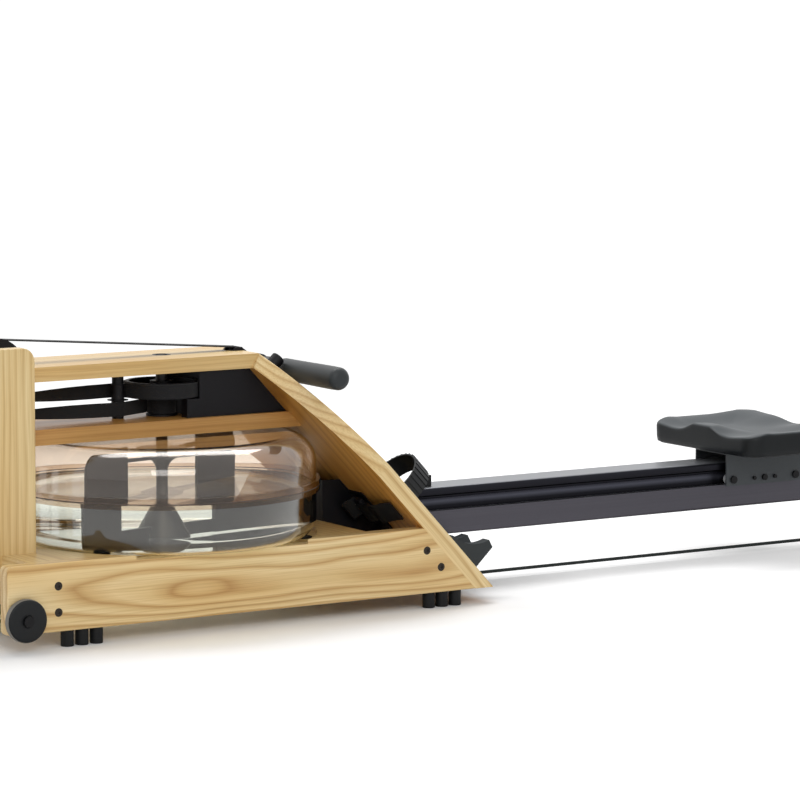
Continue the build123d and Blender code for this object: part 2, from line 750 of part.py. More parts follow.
with BuildPart() as paddle:
    with BuildSketch(Plane(origin=(tank_x, 0, shaft_bottom))):
        Circle(shaft_radius)
    extrude(amount=shaft_top - shaft_bottom)
    with BuildSketch(tank_axis):
        with BuildLine():
            Polyline(
                (shaft_radius, trumpet_top - trumpet_height),
                (0, trumpet_top - trumpet_height),
                (0, trumpet_top),
                (trumpet_radius, trumpet_top),
            )
            RadiusArc(
                (trumpet_radius, trumpet_top),
                (shaft_radius, trumpet_top - trumpet_height),
                -(trumpet_radius - shaft_radius),
            )
        make_face()
        Polygon(
            (0, hub_bottom),
            (hub_radius, hub_bottom),
            (hub_radius, hub_bottom + hub_rim),
            (shaft_radius, hub_bottom + hub_height),
            (0, hub_bottom + hub_height),
            align=None,
        )
    revolve(axis=shaft_axis)
    for angle in (blade_axis_angle, blade_axis_angle + 180):
        blade_plane = Plane(
            origin=(tank_x, 0, 0),
            x_dir=(cos(radians(angle)), sin(radians(angle)), 0),
            z_dir=(sin(radians(angle)), -cos(radians(angle)), 0),
        )
        with BuildSketch(blade_plane):
            with Locations((blade_middle, (blade_top + blade_bottom) / 2)):
                blade = Rectangle(blade_outer_radius - blade_inner_radius, blade_top - blade_bottom)
            blade_ends = blade.vertices().group_by(Axis.X)[-1].sort_by(Axis.Y)
            fillet(blade_ends[-1], blade_corner_radius)
            fillet(blade_ends[0], blade_foot_radius)
            with Locations((blade_middle / 2, hub_bottom + blade_arm_height / 2)):
                Rectangle(blade_middle, blade_arm_height)
            with Locations((blade_middle / 2, trumpet_top - blade_upper_arm_height / 2)):
                Rectangle(blade_middle, blade_upper_arm_height)
        extrude(amount=blade_thickness / 2, both=True)
paddle.part.label = "paddle"
export_step(paddle.part, "parts/paddle.step")

# Plain bearings for the shaft in the tank's lid and in both decks.
bearing_spans = (
    (lid_top - tank_wall, lid_top + bearing_lid_height),
    (mid_deck_bottom, mid_deck_top),
    (top_deck_bottom, top_deck_top),
)
with BuildPart() as shaft_bearings:
    for low, high in bearing_spans:
        with BuildSketch(Plane(origin=(tank_x, 0, low))):
            Circle(bearing_radius)
            Circle(shaft_radius + running_clearance, mode=Mode.SUBTRACT)
        extrude(amount=high - low)
shaft_bearings.part.label = "shaft_bearings"
export_step(shaft_bearings.part, "parts/shaft_bearings.step")

# ---------------------------------------------------------------- drum
drum_top = drum_bottom + drum_height
drum_inner = drum_radius - drum_rim
spool_bottom = mid_deck_top + pass_clearance
with BuildPart() as drive_drum:
    with BuildSketch(Plane(origin=(tank_x, 0, drum_bottom))):
        Circle(drum_radius)
        Circle(drum_inner, mode=Mode.SUBTRACT)
    extrude(amount=drum_height)
    with BuildSketch(Plane(origin=(tank_x, 0, drum_bottom))):
        with PolarLocations((drum_inner + spool_radius) / 2, spoke_count):
            Rectangle(drum_inner - spool_radius + drum_rim, spoke_width)
    extrude(amount=spoke_height)
    with BuildSketch(Plane(origin=(tank_x, 0, spool_bottom))):
        Circle(spool_radius)
    extrude(amount=drum_top - spool_bottom)
    for low in (spool_bottom, drum_bottom - spool_flange_thickness):
        with BuildSketch(Plane(origin=(tank_x, 0, low))):
            Circle(spool_flange_radius)
        extrude(amount=spool_flange_thickness)
    with Locations((tank_x, 0, drum_top)):
        Hole(shaft_radius + running_clearance, 2 * (drum_top - spool_bottom))
drive_drum.part.label = "drive_drum"
export_step(drive_drum.part, "parts/drive_drum.step")

# ---------------------------------------------------------------- guide post and its roller
drive_strap_z = (drum_bottom + drum_top) / 2
recoil_strap_z = (spool_bottom + drum_bottom) / 2
collar_z = (drive_strap_z + recoil_strap_z) / 2
guide_roller_low = recoil_strap_z - strap_width / 2 - slot_clearance
guide_roller_high = drive_strap_z + strap_width / 2 + slot_clearance

with BuildPart() as guide_post:
    with BuildSketch(Plane(origin=(guide_x, 0, mid_deck_top))):
        Circle(guide_pin_radius)
    extrude(amount=top_deck_bottom - mid_deck_top)
    for low, high in ((mid_deck_top, guide_roller_low), (guide_roller_high, top_deck_bottom)):
        with BuildSketch(Plane(origin=(guide_x, 0, low))):
            Circle(guide_roller_radius - slot_clearance)
        extrude(amount=high - low)
guide_post.part.label = "guide_post"
export_step(guide_post.part, "parts/guide_post.step")

with BuildPart() as guide_roller:
    with BuildSketch(Plane(origin=(guide_x, 0, guide_roller_low + pass_clearance))):
        Circle(guide_roller_radius)
    extrude(amount=guide_roller_high - guide_roller_low - 2 * pass_clearance)
    with BuildSketch(Plane(origin=(guide_x, 0, collar_z))):
        Circle(guide_collar_radius)
    extrude(amount=slot_clearance / 2, both=True)
    with Locations((guide_x, 0, guide_roller_high)):
        Hole(guide_pin_radius + running_clearance, 2 * (guide_roller_high - guide_roller_low))
guide_roller.part.label = "guide_roller"
export_step(guide_roller.part, "parts/guide_roller.step")

# ---------------------------------------------------------------- pulleys
groove_width = strap_width + 2 * slot_clearance
cord_pulley_z = cord_height + cord_radius + pass_clearance + recoil_pulley_radius
pulleys = (
    ("front_pulley", front_pulley_x, front_pulley_height, front_pulley_radius, groove_width),
    ("recoil_pulley", recoil_pulley_x, recoil_pulley_height, recoil_pulley_radius, groove_width),
    ("cord_pulley", recoil_pulley_x, cord_pulley_z, recoil_pulley_radius, 3 * cord_radius),
)
for name, x, z, radius, width in pulleys:
    with BuildPart() as pulley:
        with BuildSketch(facing(1, x, 0, z)):
            Circle(radius)
        extrude(amount=width / 2, both=True)
        for side, side_name in sides:
            with BuildSketch(facing(side, x, width / 2, z)):
                Circle(radius + pulley_flange)
            extrude(amount=pulley_flange_thickness)
        with Locations(facing(1, x, width, z)):
            Hole(pulley_axle_radius + running_clearance, 4 * width)
    pulley.part.label = name
    export_step(pulley.part, f"parts/{name}.step")

with BuildPart() as pulley_axle_pins:
    for x, z in pulley_axles:
        with BuildSketch(facing(1, x, 0, z)):
            Circle(pulley_axle_radius)
        extrude(amount=post_outer - axle_cover, both=True)
pulley_axle_pins.part.label = "pulley_axles"
export_step(pulley_axle_pins.part, "parts/pulley_axles.step")

# Bracket under the front plank, with its own axle pin, for the cord's pulley.
cheek_inner = 3 * cord_radius / 2 + pulley_flange_thickness + slot_clearance
cheek_outer = cheek_inner + bracket_sheet
with BuildPart() as cord_pulley_bracket:
    bracket_low = cord_pulley_z - 2 * pulley_axle_radius
    cheek_length = 4 * pulley_axle_radius
    cheek_x = recoil_pulley_x + cheek_length / 2
    with Locations((cheek_x, 0, (bracket_low + plank_bottom) / 2)):
        Box(cheek_length + 2 * pulley_axle_radius, 2 * cheek_outer, plank_bottom - bracket_low)
        Box(
            2 * cheek_length + 2 * pulley_axle_radius,
            2 * cheek_inner,
            plank_bottom - bracket_low - 2 * bracket_sheet,
            mode=Mode.SUBTRACT,
        )
        with Locations((0, 0, -bracket_sheet)):
            Box(
                2 * cheek_length,
                2 * cheek_inner,
                plank_bottom - bracket_low - 2 * bracket_sheet,
                mode=Mode.SUBTRACT,
            )
    with BuildSketch(facing(1, recoil_pulley_x, 0, cord_pulley_z)):
        Circle(pulley_axle_radius)
    extrude(amount=cheek_outer, both=True)
cord_pulley_bracket.part.label = "cord_pulley_bracket"
export_step(cord_pulley_bracket.part, "parts/cord_pulley_bracket.step")

# ---------------------------------------------------------------- handle's resting place
handle_down_slope = peg_down_slope + peg_radius + grip_radius + pass_clearance
handle_point = on_tread(handle_down_slope, 0, handle_stand_off)
handle_x = handle_point.X
handle_z = handle_point.Z

# ---------------------------------------------------------------- straps
# Each strap is wound on its drum, crosses to the guide roller's far side on edge, turns flat on its
# way forward and goes round its front pulley. The drive strap's coil leaves the drum on the left.
half_strap = strap_thickness / 2
strap_gap = pass_clearance + half_strap  # from a groove's bottom to the strap's middle
guide_reach = guide_roller_radius + strap_gap
front_reach = front_pulley_radius + strap_gap
recoil_reach = recoil_pulley_radius + strap_gap
roller_reach = strap_roller_radius + strap_gap
twist_end_x = guide_x - guide_roller_radius
twist_steps = 6
front_pulley_place = (front_pulley_x, front_pulley_height)
recoil_pulley_place = (recoil_pulley_x, recoil_pulley_height)
strap_roller_place = (strap_roller_x, strap_roller_z)
clamp_nose = (handle_x - clamp_length / 2, handle_z)
top_start, top_end, top_angle = outer_tangent(
    front_pulley_place, front_reach, strap_roller_place, roller_reach
)
tail_start, tail_end, tail_angle = outer_tangent(strap_roller_place, roller_reach, clamp_nose, 0)

flat_height = front_pulley_height - front_reach
recoil_flat_height = recoil_pulley_height + recoil_reach
strap_runs = (
    ("drive_strap", 1, drum_radius, drive_strap_z, front_pulley_x, flat_height),
    ("recoil_strap", -1, spool_radius, recoil_strap_z, recoil_pulley_x, recoil_flat_height),
)
for name, guide_side, radius, middle_z, flat_x, flat_z in strap_runs:
    coil_inner = radius + pass_clearance
    coil_outer = coil_inner + 2 * strap_thickness
    coil_reach = coil_outer - half_strap
    leave, land, leave_angle = inner_tangent((guide_x, 0), guide_reach, (tank_x, 0), coil_reach)
    with BuildPart() as strap:
        with BuildSketch(Plane(origin=(tank_x, 0, middle_z - strap_width / 2))):
            Circle(coil_outer)
            Circle(coil_inner, mode=Mode.SUBTRACT)
        extrude(amount=strap_width)
        with BuildSketch(Plane.XY.offset(middle_z - strap_width / 2)):
            with BuildLine():
                Line((twist_end_x, guide_side * guide_reach), (guide_x, guide_side * guide_reach))
                CenterArc((guide_x, 0), guide_reach, guide_side * 90, guide_side * (leave_angle - 90))
                Line((leave[0], guide_side * leave[1]), (land[0], guide_side * land[1]))
            trace(line_width=strap_thickness)
        extrude(amount=strap_width)
        for step in range(twist_steps + 1):
            share = step / twist_steps
            turn = radians(90 * share)
            section = Plane(
                origin=(
                    flat_x + (twist_end_x - flat_x) * share,
                    guide_side * guide_reach * share,
                    flat_z + (middle_z - flat_z) * share,
                ),
                x_dir=(0, cos(turn), sin(turn)),
                z_dir=(1, 0, 0),
            )
            with BuildSketch(section):
                Rectangle(strap_width, strap_thickness)
        loft(ruled=True)
        with BuildSketch(Plane.XZ):
            with BuildLine():
                if name == "drive_strap":
                    CenterArc(front_pulley_place, front_reach, 270, top_angle - 270)
                    Line(top_start, top_end)
                    CenterArc(strap_roller_place, roller_reach, top_angle, tail_angle - top_angle)
                else:
                    CenterArc(recoil_pulley_place, recoil_reach, 90, 90)
                    drop_x = recoil_pulley_x - recoil_reach
                    Line((drop_x, recoil_pulley_height), (drop_x, cord_top + strap_end_length / 2))
            trace(line_width=strap_thickness)
        extrude(amount=strap_width / 2, both=True)
        if name == "recoil_strap":
            with Locations((recoil_pulley_x - recoil_reach, 0, cord_top + strap_end_length / 2)):
                Box(2 * strap_end_radius, strap_width, strap_end_length)
    strap.part.label = name
    export_step(strap.part, f"parts/{name}.step")

with BuildPart() as strap_tail:
    with BuildSketch(Plane.XZ):
        with BuildLine():
            Line(tail_start, tail_end)
        trace(line_width=strap_thickness)
    extrude(amount=strap_width / 2, both=True)
strap_tail.part.label = "strap_tail"
export_step(strap_tail.part, "parts/strap_tail.step")

# ---------------------------------------------------------------- recoil cord
# The taut elastic cord drops from the recoil strap, turns under the cord pulley and runs back along
# the floor to its anchor on the rear leg.
cord_reach = cord_radius + pass_clearance + recoil_pulley_radius
anchor_x = leg_front_x - anchor_length
with BuildPart() as recoil_cord:
    with BuildLine(Plane.XZ) as cord_route:
        Line((recoil_pulley_x - cord_reach, cord_top), (recoil_pulley_x - cord_reach, cord_pulley_z))
        CenterArc((recoil_pulley_x, cord_pulley_z), cord_reach, 180, 90)
        Line((recoil_pulley_x, cord_height), (anchor_x, cord_height))
    with BuildSketch(Plane(origin=(recoil_pulley_x - cord_reach, 0, cord_top), z_dir=(0, 0, -1))):
        Circle(cord_radius)
    sweep(path=cord_route.line)
recoil_cord.part.label = "recoil_cord"
export_step(recoil_cord.part, "parts/recoil_cord.step")

with BuildPart() as cord_anchor:
    anchor_bottom = cord_height - 2 * cord_radius
    with Locations((anchor_x + anchor_length / 2, 0, anchor_bottom + anchor_height / 2)):
        Box(anchor_length, anchor_width, anchor_height)
    fillet(cord_anchor.faces().sort_by(Axis.X)[0].edges(), anchor_edge_radius)
cord_anchor.part.label = "cord_anchor"
export_step(cord_anchor.part, "parts/cord_anchor.step")

# ---------------------------------------------------------------- guide housing between the decks
housing_x = tank_x + housing_front
with BuildPart() as guide_housing:
    with BuildSketch(Plane.XZ):
        Polygon(
            (housing_x, mid_deck_top),
            (housing_x, top_deck_bottom),
            (board_back_x(top_deck_bottom), top_deck_bottom),
            (board_back_x(mid_deck_top), mid_deck_top),
            align=None,
        )
    extrude(amount=housing_width / 2, both=True)
    for side, name in sides:
        step_place = (
            housing_x - housing_step_length / 2,
            side * (housing_width - housing_step_width) / 2,
            mid_deck_top + housing_step_height / 2,
        )
        with Locations(step_place):
            Box(housing_step_length, housing_step_width, housing_step_height)
    with Locations((tank_x, 0, mid_deck_top + housing_step_height + deck_width / 2)):
        drum_room = drum_radius + pass_clearance + 2 * strap_thickness + slot_side_room
        Cylinder(drum_room, deck_width, mode=Mode.SUBTRACT)
    with Locations((tank_x, 0, mid_deck_top)):
        Cylinder(spool_flange_radius + slot_side_room, deck_width, mode=Mode.SUBTRACT)
guide_housing.part.label = "guide_housing"
export_step(guide_housing.part, "parts/guide_housing.step")

# ---------------------------------------------------------------- strap guide at the board's top
with BuildPart() as strap_guide:
    cheek_high = strap_roller_z + strap_roller_radius + strap_thickness
    notch_floor = strap_roller_z - (strap_guide_depth - strap_roller_drop)
    notch_back_x = strap_roller_x + strap_guide_half_length
    with BuildSketch(Plane.XZ):
        Polygon(
            (strap_roller_x - strap_guide_half_length, notch_floor),
            (strap_roller_x - strap_guide_half_length, top_deck_top),
            (strap_roller_x - strap_guide_half_length / 2, cheek_high),
            (strap_roller_x + strap_guide_half_length / 4, cheek_high),
            (notch_back_x, top_deck_top - (notch_back_x - board_top_x) / slope_run * slope_fall),
            (notch_back_x, notch_floor),
            align=None,
        )
    extrude(amount=notch_half_width, both=True)
    with Locations((strap_roller_x, 0, strap_roller_z)):
        inner_half = notch_half_width - strap_guide_cheek
        gap_length = 6 * strap_guide_half_length
        roller_room = 2 * (strap_roller_radius + slot_clearance)
        Box(gap_length, 2 * inner_half, roller_room, mode=Mode.SUBTRACT)
        with Locations((0, 0, strap_roller_radius * 2)):
            Box(gap_length, 2 * inner_half, 2 * strap_roller_radius, mode=Mode.SUBTRACT)
    with BuildSketch(facing(1, strap_roller_x, 0, strap_roller_z)):
        Circle(strap_roller_pin_radius)
    extrude(amount=notch_half_width, both=True)
strap_guide.part.label = "strap_guide"
export_step(strap_guide.part, "parts/strap_guide.step")

with BuildPart() as strap_roller:
    with BuildSketch(facing(1, strap_roller_x, 0, strap_roller_z)):
        Circle(strap_roller_radius)
        Circle(strap_roller_pin_radius + running_clearance, mode=Mode.SUBTRACT)
    extrude(amount=strap_width / 2 + slot_clearance / 2, both=True)
strap_roller.part.label = "strap_roller"
export_step(strap_roller.part, "parts/strap_roller.step")

# ---------------------------------------------------------------- handle and its pegs
with BuildPart() as handle_pegs:
    with BuildSketch(tread):
        with Locations((peg_down_slope, -peg_spacing / 2), (peg_down_slope, peg_spacing / 2)):
            Circle(peg_radius)
    extrude(amount=peg_height)
    peg_ends = handle_pegs.edges().filter_by(GeomType.CIRCLE)
    fillet(peg_ends.group_by(Axis(tread.origin, tread.z_dir))[-1], peg_edge_radius)
handle_pegs.part.label = "handle_pegs"
export_step(handle_pegs.part, "parts/handle_pegs.step")

handle_axis = Plane(origin=(handle_x, 0, handle_z), x_dir=(1, 0, 0), z_dir=(0, -1, 0))
with BuildPart() as handle_bar:
    with BuildSketch(handle_axis):
        Circle(bar_radius)
    extrude(amount=grip_end - grip_radius, both=True)
    with Locations((handle_x, 0, handle_z)):
        Box(clamp_length, clamp_width, clamp_height)
    fillet(handle_bar.edges().filter_by(Axis.Y), clamp_corner_radius)
    add(strap_tail.part, mode=Mode.SUBTRACT)
handle_bar.part.label = "handle_bar"
export_step(handle_bar.part, "parts/handle_bar.step")

for side, name in sides:
    with BuildPart() as handle_grip:
        with BuildSketch(facing(side, handle_x, grip_start, handle_z)):
            Circle(grip_radius)
        extrude(amount=grip_end - grip_start)
        outer_face = handle_grip.faces().sort_by(Axis.Y)[-1 if side > 0 else 0]
        fillet(outer_face.edges(), grip_radius / 3)
        with BuildSketch(facing(side, handle_x, grip_start, handle_z)):
            Circle(bar_radius)
        extrude(amount=grip_end - grip_radius - grip_start, mode=Mode.SUBTRACT)
    handle_grip.part.label = f"handle_grip_{name}"
    export_step(handle_grip.part, f"parts/handle_grip_{name}.step")

# ---------------------------------------------------------------- footrests
def across_slope(along, across):
    """Plane square to the slope: x across the machine, y out of the tread face."""
    return Plane(origin=on_tread(along, across, 0), x_dir=(0, 1, 0), z_dir=tread.x_dir)


def along_slope(across):
    """Plane along the slope: x down the slope, y out of the tread face."""
    return Plane(origin=on_tread(0, across, 0), x_dir=tread.x_dir, z_dir=(0, -1, 0))


heel_bottom = footplate_thickness + pass_clearance
curve_along = heel_back - heel_curve_length
hollow_drop = heel_wall + pass_clearance
hollow_start = (heel_top + heel_wall, heel_front_rise - 2 * heel_wall)
hollow_end = (heel_back - heel_wall, heel_middle_rise - 2 * heel_wall)


def heel_side(rise, curve_rise):
    """Outline of the heel cup from the side, with its rim at the given height."""
    lip_point = (heel_back - heel_lip_length, rise)
    with BuildSketch() as outline:
        with BuildLine():
            Polyline(
                (heel_top, heel_front_rise),
                (heel_top, heel_bottom),
                (heel_back, heel_bottom),
                (heel_back, rise - heel_lip_rise),
                lip_point,
            )
            ThreePointArc(lip_point, (curve_along, curve_rise), (heel_top, heel_front_rise))
        make_face()
    return outline.sketch


strap_half_span = foot_strap_span / 2
for side, name in sides:
    centre_y = side * footrest_spacing / 2
    with BuildPart() as footplate:
        with BuildSketch(tread):
            with Locations((footplate_top + footplate_length / 2, centre_y)):
                RectangleRounded(footplate_length, footplate_width, footplate_corner_radius)
        extrude(amount=footplate_thickness)
    footplate.part.label = f"footplate_{name}"
    export_step(footplate.part, f"parts/footplate_{name}.step")

    with BuildPart() as heel_cup:
        with BuildSketch(along_slope(centre_y)):
            add(heel_side(heel_middle_rise, heel_middle_curve_rise))
        extrude(amount=heel_width / 2, both=True)
        for ear_side in (-1, 1):
            with BuildSketch(along_slope(centre_y + ear_side * (heel_width - heel_ear_width) / 2)):
                add(heel_side(heel_back_rise, heel_curve_rise))
            extrude(amount=heel_ear_width / 2, both=True)
        with BuildSketch(along_slope(centre_y)):
            with BuildLine():
                Polyline(
                    hollow_start,
                    (heel_top + heel_wall, heel_bottom),
                    (heel_back - heel_wall, heel_bottom),
                    hollow_end,
                )
                ThreePointArc(hollow_end, (curve_along, heel_middle_curve_rise - hollow_drop), hollow_start)
            make_face()
        extrude(amount=heel_width / 2 - heel_wall, both=True, mode=Mode.SUBTRACT)
    heel_cup.part.label = f"heel_cup_{name}"
    export_step(heel_cup.part, f"parts/heel_cup_{name}.step")

    with BuildPart() as foot_strap:
        with BuildSketch(across_slope(foot_strap_down_slope, centre_y)):
            with BuildLine():
                outer = ThreePointArc(
                    (-strap_half_span, footplate_thickness),
                    (0, footplate_thickness + foot_strap_rise),
                    (strap_half_span, footplate_thickness),
                )
                inner_span = strap_half_span - foot_strap_thickness
                Line((strap_half_span, footplate_thickness), (inner_span, footplate_thickness))
                ThreePointArc(
                    (inner_span, footplate_thickness),
                    (0, footplate_thickness + foot_strap_rise - foot_strap_thickness),
                    (-inner_span, footplate_thickness),
                )
                Line((-inner_span, footplate_thickness), (-strap_half_span, footplate_thickness))
            make_face()
        extrude(amount=foot_strap_width / 2, both=True)
    foot_strap.part.label = f"foot_strap_{name}"
    export_step(foot_strap.part, f"parts/foot_strap_{name}.step")

# ---------------------------------------------------------------- monorail
monorail_middle = monorail_bottom + monorail_height / 2
groove_wall_y = monorail_width / 2 - groove_depth
bead_z = groove_floor + groove_height - bead_radius - slot_clearance
with BuildPart() as monorail:
    with BuildSketch(Plane.YZ.offset(monorail_x)):
        with Locations((0, monorail_middle)):
            RectangleRounded(monorail_width, monorail_height, monorail_corner)
        for side, name in sides:
            with Locations((side * (monorail_width / 2), groove_floor + groove_height / 2)):
                Rectangle(2 * groove_depth, groove_height, mode=Mode.SUBTRACT)
            with Locations((side * groove_wall_y, bead_z)):
                Circle(bead_radius)
        with Locations((0, monorail_bottom + groove_bottom / 2)):
            Rectangle(
                monorail_width - 2 * monorail_wall,
                groove_bottom - 2 * monorail_wall,
                mode=Mode.SUBTRACT,
            )
        with Locations((0, (groove_floor + monorail_top) / 2)):
            Rectangle(
                2 * (groove_wall_y - monorail_wall - bead_radius),
                monorail_top - groove_floor - 2 * monorail_wall,
                mode=Mode.SUBTRACT,
            )
    extrude(amount=leg_front_x - monorail_x)
    with Locations(*rail_bolts):
        Hole(bracket_bolt_radius, monorail_wall)
monorail.part.label = "monorail"
export_step(monorail.part, "parts/monorail.step")

# Steel bracket: an end plate, two cheeks along the monorail and two wings on the board's underside.
with BuildPart() as monorail_bracket:
    with BuildSketch(Plane.XZ):
        Polygon(
            (monorail_x - bracket_sheet, monorail_bottom),
            (monorail_x - bracket_sheet, bracket_top),
            (board_back_x(bracket_top), bracket_top),
            (board_back_x(monorail_bottom), monorail_bottom),
            align=None,
        )
    extrude(amount=cheek_outer_y, both=True)
    with Locations((monorail_x + overall_length / 2, 0, monorail_bottom)):
        Box(overall_length, monorail_width, 4 * monorail_height, mode=Mode.SUBTRACT)
    with BuildSketch(tread.offset(-board_thickness)):
        with Locations(((wing_top_along + wing_bottom_along) / 2, 0)):
            Rectangle(wing_bottom_along - wing_top_along, 2 * wing_outer_y)
            Rectangle(overall_length, monorail_width, mode=Mode.SUBTRACT)
    extrude(amount=-bracket_sheet)
    with Locations(*[plane.offset(bracket_sheet) for plane in wing_bolts]):
        Hole(bracket_bolt_radius, bracket_sheet)
monorail_bracket.part.label = "monorail_bracket"
export_step(monorail_bracket.part, "parts/monorail_bracket.step")

# Angle bracket under the monorail's rear end, on the rear leg's front face.
with BuildPart() as leg_bracket:
    with BuildSketch(Plane.XZ):
        Polygon(
            (leg_front_x, monorail_bottom),
            (leg_front_x - leg_bracket_length, monorail_bottom),
            (leg_front_x - leg_bracket_length, monorail_bottom - bracket_sheet),
            (leg_front_x - bracket_sheet, monorail_bottom - bracket_sheet),
            (leg_front_x - bracket_sheet, monorail_bottom - leg_bracket_drop),
            (leg_front_x, monorail_bottom - leg_bracket_drop),
            align=None,
        )
    extrude(amount=monorail_width / 2, both=True)
    with Locations(*[plane.offset(bracket_sheet) for plane in leg_bolts + rail_bolts]):
        Hole(bracket_bolt_radius, bracket_sheet)
leg_bracket.part.label = "leg_bracket"
export_step(leg_bracket.part, "parts/leg_bracket.step")

# ---------------------------------------------------------------- monorail bolts
with BuildPart() as monorail_bolts:
    for planes, grip in ((wing_bolts + leg_bolts, bracket_bolt_grip), (rail_bolts, monorail_wall)):
        for plane in planes:
            with BuildSketch(plane.offset(bracket_sheet)):
                RegularPolygon(bracket_bolt_head_radius, 6)
            extrude(amount=bracket_bolt_head_height)
            with BuildSketch(plane.offset(bracket_sheet)):
                Circle(bracket_bolt_radius)
            extrude(amount=-bracket_sheet - grip)
monorail_bolts.part.label = "monorail_bolts"
export_step(monorail_bolts.part, "parts/monorail_bolts.step")

# ---------------------------------------------------------------- seat stops
stop_places = (
    monorail_x + front_stop_setback,
    leg_front_x - back_stop_ahead,
)
with BuildPart() as seat_stops:
    with BuildSketch(Plane.XY.offset(monorail_top)):
        with Locations(*[(x, 0) for x in stop_places]):
            RectangleRounded(stop_length, stop_width, stop_corner_radius)
    extrude(amount=stop_height)
seat_stops.part.label = "seat_stops"
export_step(seat_stops.part, "parts/seat_stops.step")

# ---------------------------------------------------------------- seat carriage
plate_outer = carriage_width / 2
plate_inner = plate_outer - carriage_sheet
carriage_top = seat_bottom
seat_roller_z = groove_floor + pass_clearance + seat_roller_radius
axle_places = (seat_x - seat_axle_spacing / 2, seat_x + seat_axle_spacing / 2)
bolt_offsets = (-seat_axle_spacing / 2, -plate_bolt_spacing, 0, plate_bolt_spacing, seat_axle_spacing / 2)
bolt_head_radii = (
    seat_bolt_head_radius,
    plate_bolt_head_radius,
    middle_bolt_head_radius,
    plate_bolt_head_radius,
    seat_bolt_head_radius,
)
roller_outer = plate_inner - slot_clearance
roller_inner = roller_outer - seat_roller_width

with BuildPart() as seat_carriage:
    with Locations((seat_x, 0, (carriage_top + carriage_bottom) / 2)):
        Box(carriage_length, carriage_width, carriage_top - carriage_bottom)
    with Locations((seat_x, 0, (carriage_top + carriage_bottom) / 2 - 2 * carriage_sheet)):
        Box(2 * carriage_length, 2 * plate_inner, carriage_top - carriage_bottom, mode=Mode.SUBTRACT)
    with Locations(*[facing(1, x, plate_outer, seat_roller_z) for x in axle_places]):
        Hole(seat_axle_radius, 2 * carriage_width)
seat_carriage.part.label = "seat_carriage"
export_step(seat_carriage.part, "parts/seat_carriage.step")

roller_pairs = (("seat_rollers_front", axle_places[0]), ("seat_rollers_rear", axle_places[1]))
for name, x in roller_pairs:
    with BuildPart() as seat_rollers:
        for side, side_name in sides:
            with BuildSketch(facing(side, x, roller_inner, seat_roller_z)):
                Circle(seat_roller_radius)
                Circle(seat_axle_radius + running_clearance, mode=Mode.SUBTRACT)
            extrude(amount=seat_roller_width)
    seat_rollers.part.label = name
    export_step(seat_rollers.part, f"parts/{name}.step")

with BuildPart() as seat_bolts:
    for side, side_name in sides:
        for x in axle_places:
            with BuildSketch(facing(side, x, roller_inner, seat_roller_z)):
                Circle(seat_axle_radius)
            extrude(amount=plate_outer - roller_inner)
        for offset_x, radius in zip(bolt_offsets, bolt_head_radii):
            with BuildSketch(facing(side, seat_x + offset_x, plate_outer, seat_roller_z)):
                Circle(radius)
            extrude(amount=seat_bolt_head_height)
seat_bolts.part.label = "seat_bolts"
export_step(seat_bolts.part, "parts/seat_bolts.step")

# ---------------------------------------------------------------- seat pad
# Raised rim and front pommel round a dished middle, with a channel in front for each thigh.
seat_front_x = seat_x - seat_length / 2
seat_top = seat_bottom + seat_height
with BuildPart() as seat_pad:
    with BuildSketch(Plane(origin=(seat_x, 0, seat_bottom))):
        RectangleRounded(seat_length, seat_width, seat_corner_radius)
    extrude(amount=seat_height)
    fillet(seat_pad.edges().group_by(Axis.Z)[-1], seat_edge_radius)
    with Locations((seat_x + seat_dish_shift, 0, seat_top + seat_dish_radius - seat_dish_depth)):
        Sphere(seat_dish_radius, mode=Mode.SUBTRACT)
    for side, name in sides:
        channel = Plane(
            origin=(seat_front_x, side * thigh_spacing / 2, seat_top - thigh_depth + thigh_radius),
            x_dir=(0, 1, 0),
            z_dir=(cos(radians(thigh_rise)), 0, sin(radians(thigh_rise))),
        )
        with BuildSketch(channel.offset(-seat_length)):
            Circle(thigh_radius)
        extrude(amount=2 * seat_length, mode=Mode.SUBTRACT)
seat_pad.part.label = "seat_pad"
export_step(seat_pad.part, "parts/seat_pad.step")
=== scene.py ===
import math

import bmesh
import bpy
from mathutils import Matrix, Vector


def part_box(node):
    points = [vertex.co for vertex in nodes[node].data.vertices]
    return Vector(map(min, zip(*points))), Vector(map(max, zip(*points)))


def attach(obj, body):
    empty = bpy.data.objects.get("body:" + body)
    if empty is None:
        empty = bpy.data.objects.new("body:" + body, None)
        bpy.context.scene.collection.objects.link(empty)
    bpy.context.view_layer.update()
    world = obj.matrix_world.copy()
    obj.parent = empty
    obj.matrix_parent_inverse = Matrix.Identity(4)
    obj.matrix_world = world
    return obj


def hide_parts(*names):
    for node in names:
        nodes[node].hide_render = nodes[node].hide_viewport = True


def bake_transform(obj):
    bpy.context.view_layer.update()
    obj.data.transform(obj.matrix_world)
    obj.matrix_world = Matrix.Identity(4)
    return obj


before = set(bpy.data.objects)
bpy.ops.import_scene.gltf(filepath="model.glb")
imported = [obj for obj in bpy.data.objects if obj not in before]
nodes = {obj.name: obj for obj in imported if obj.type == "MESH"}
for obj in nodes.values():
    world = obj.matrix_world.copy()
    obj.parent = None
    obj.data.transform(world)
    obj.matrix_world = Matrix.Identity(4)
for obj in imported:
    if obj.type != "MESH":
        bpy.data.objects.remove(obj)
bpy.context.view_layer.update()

# ------------------------------------------------------------------ camera
def looking(place, direction):
    """Where a lens or a lamp stands to look from place along direction, with its top up."""
    return Matrix.Translation(place) @ direction.to_track_quat("-Z", "Y").to_matrix().to_4x4()


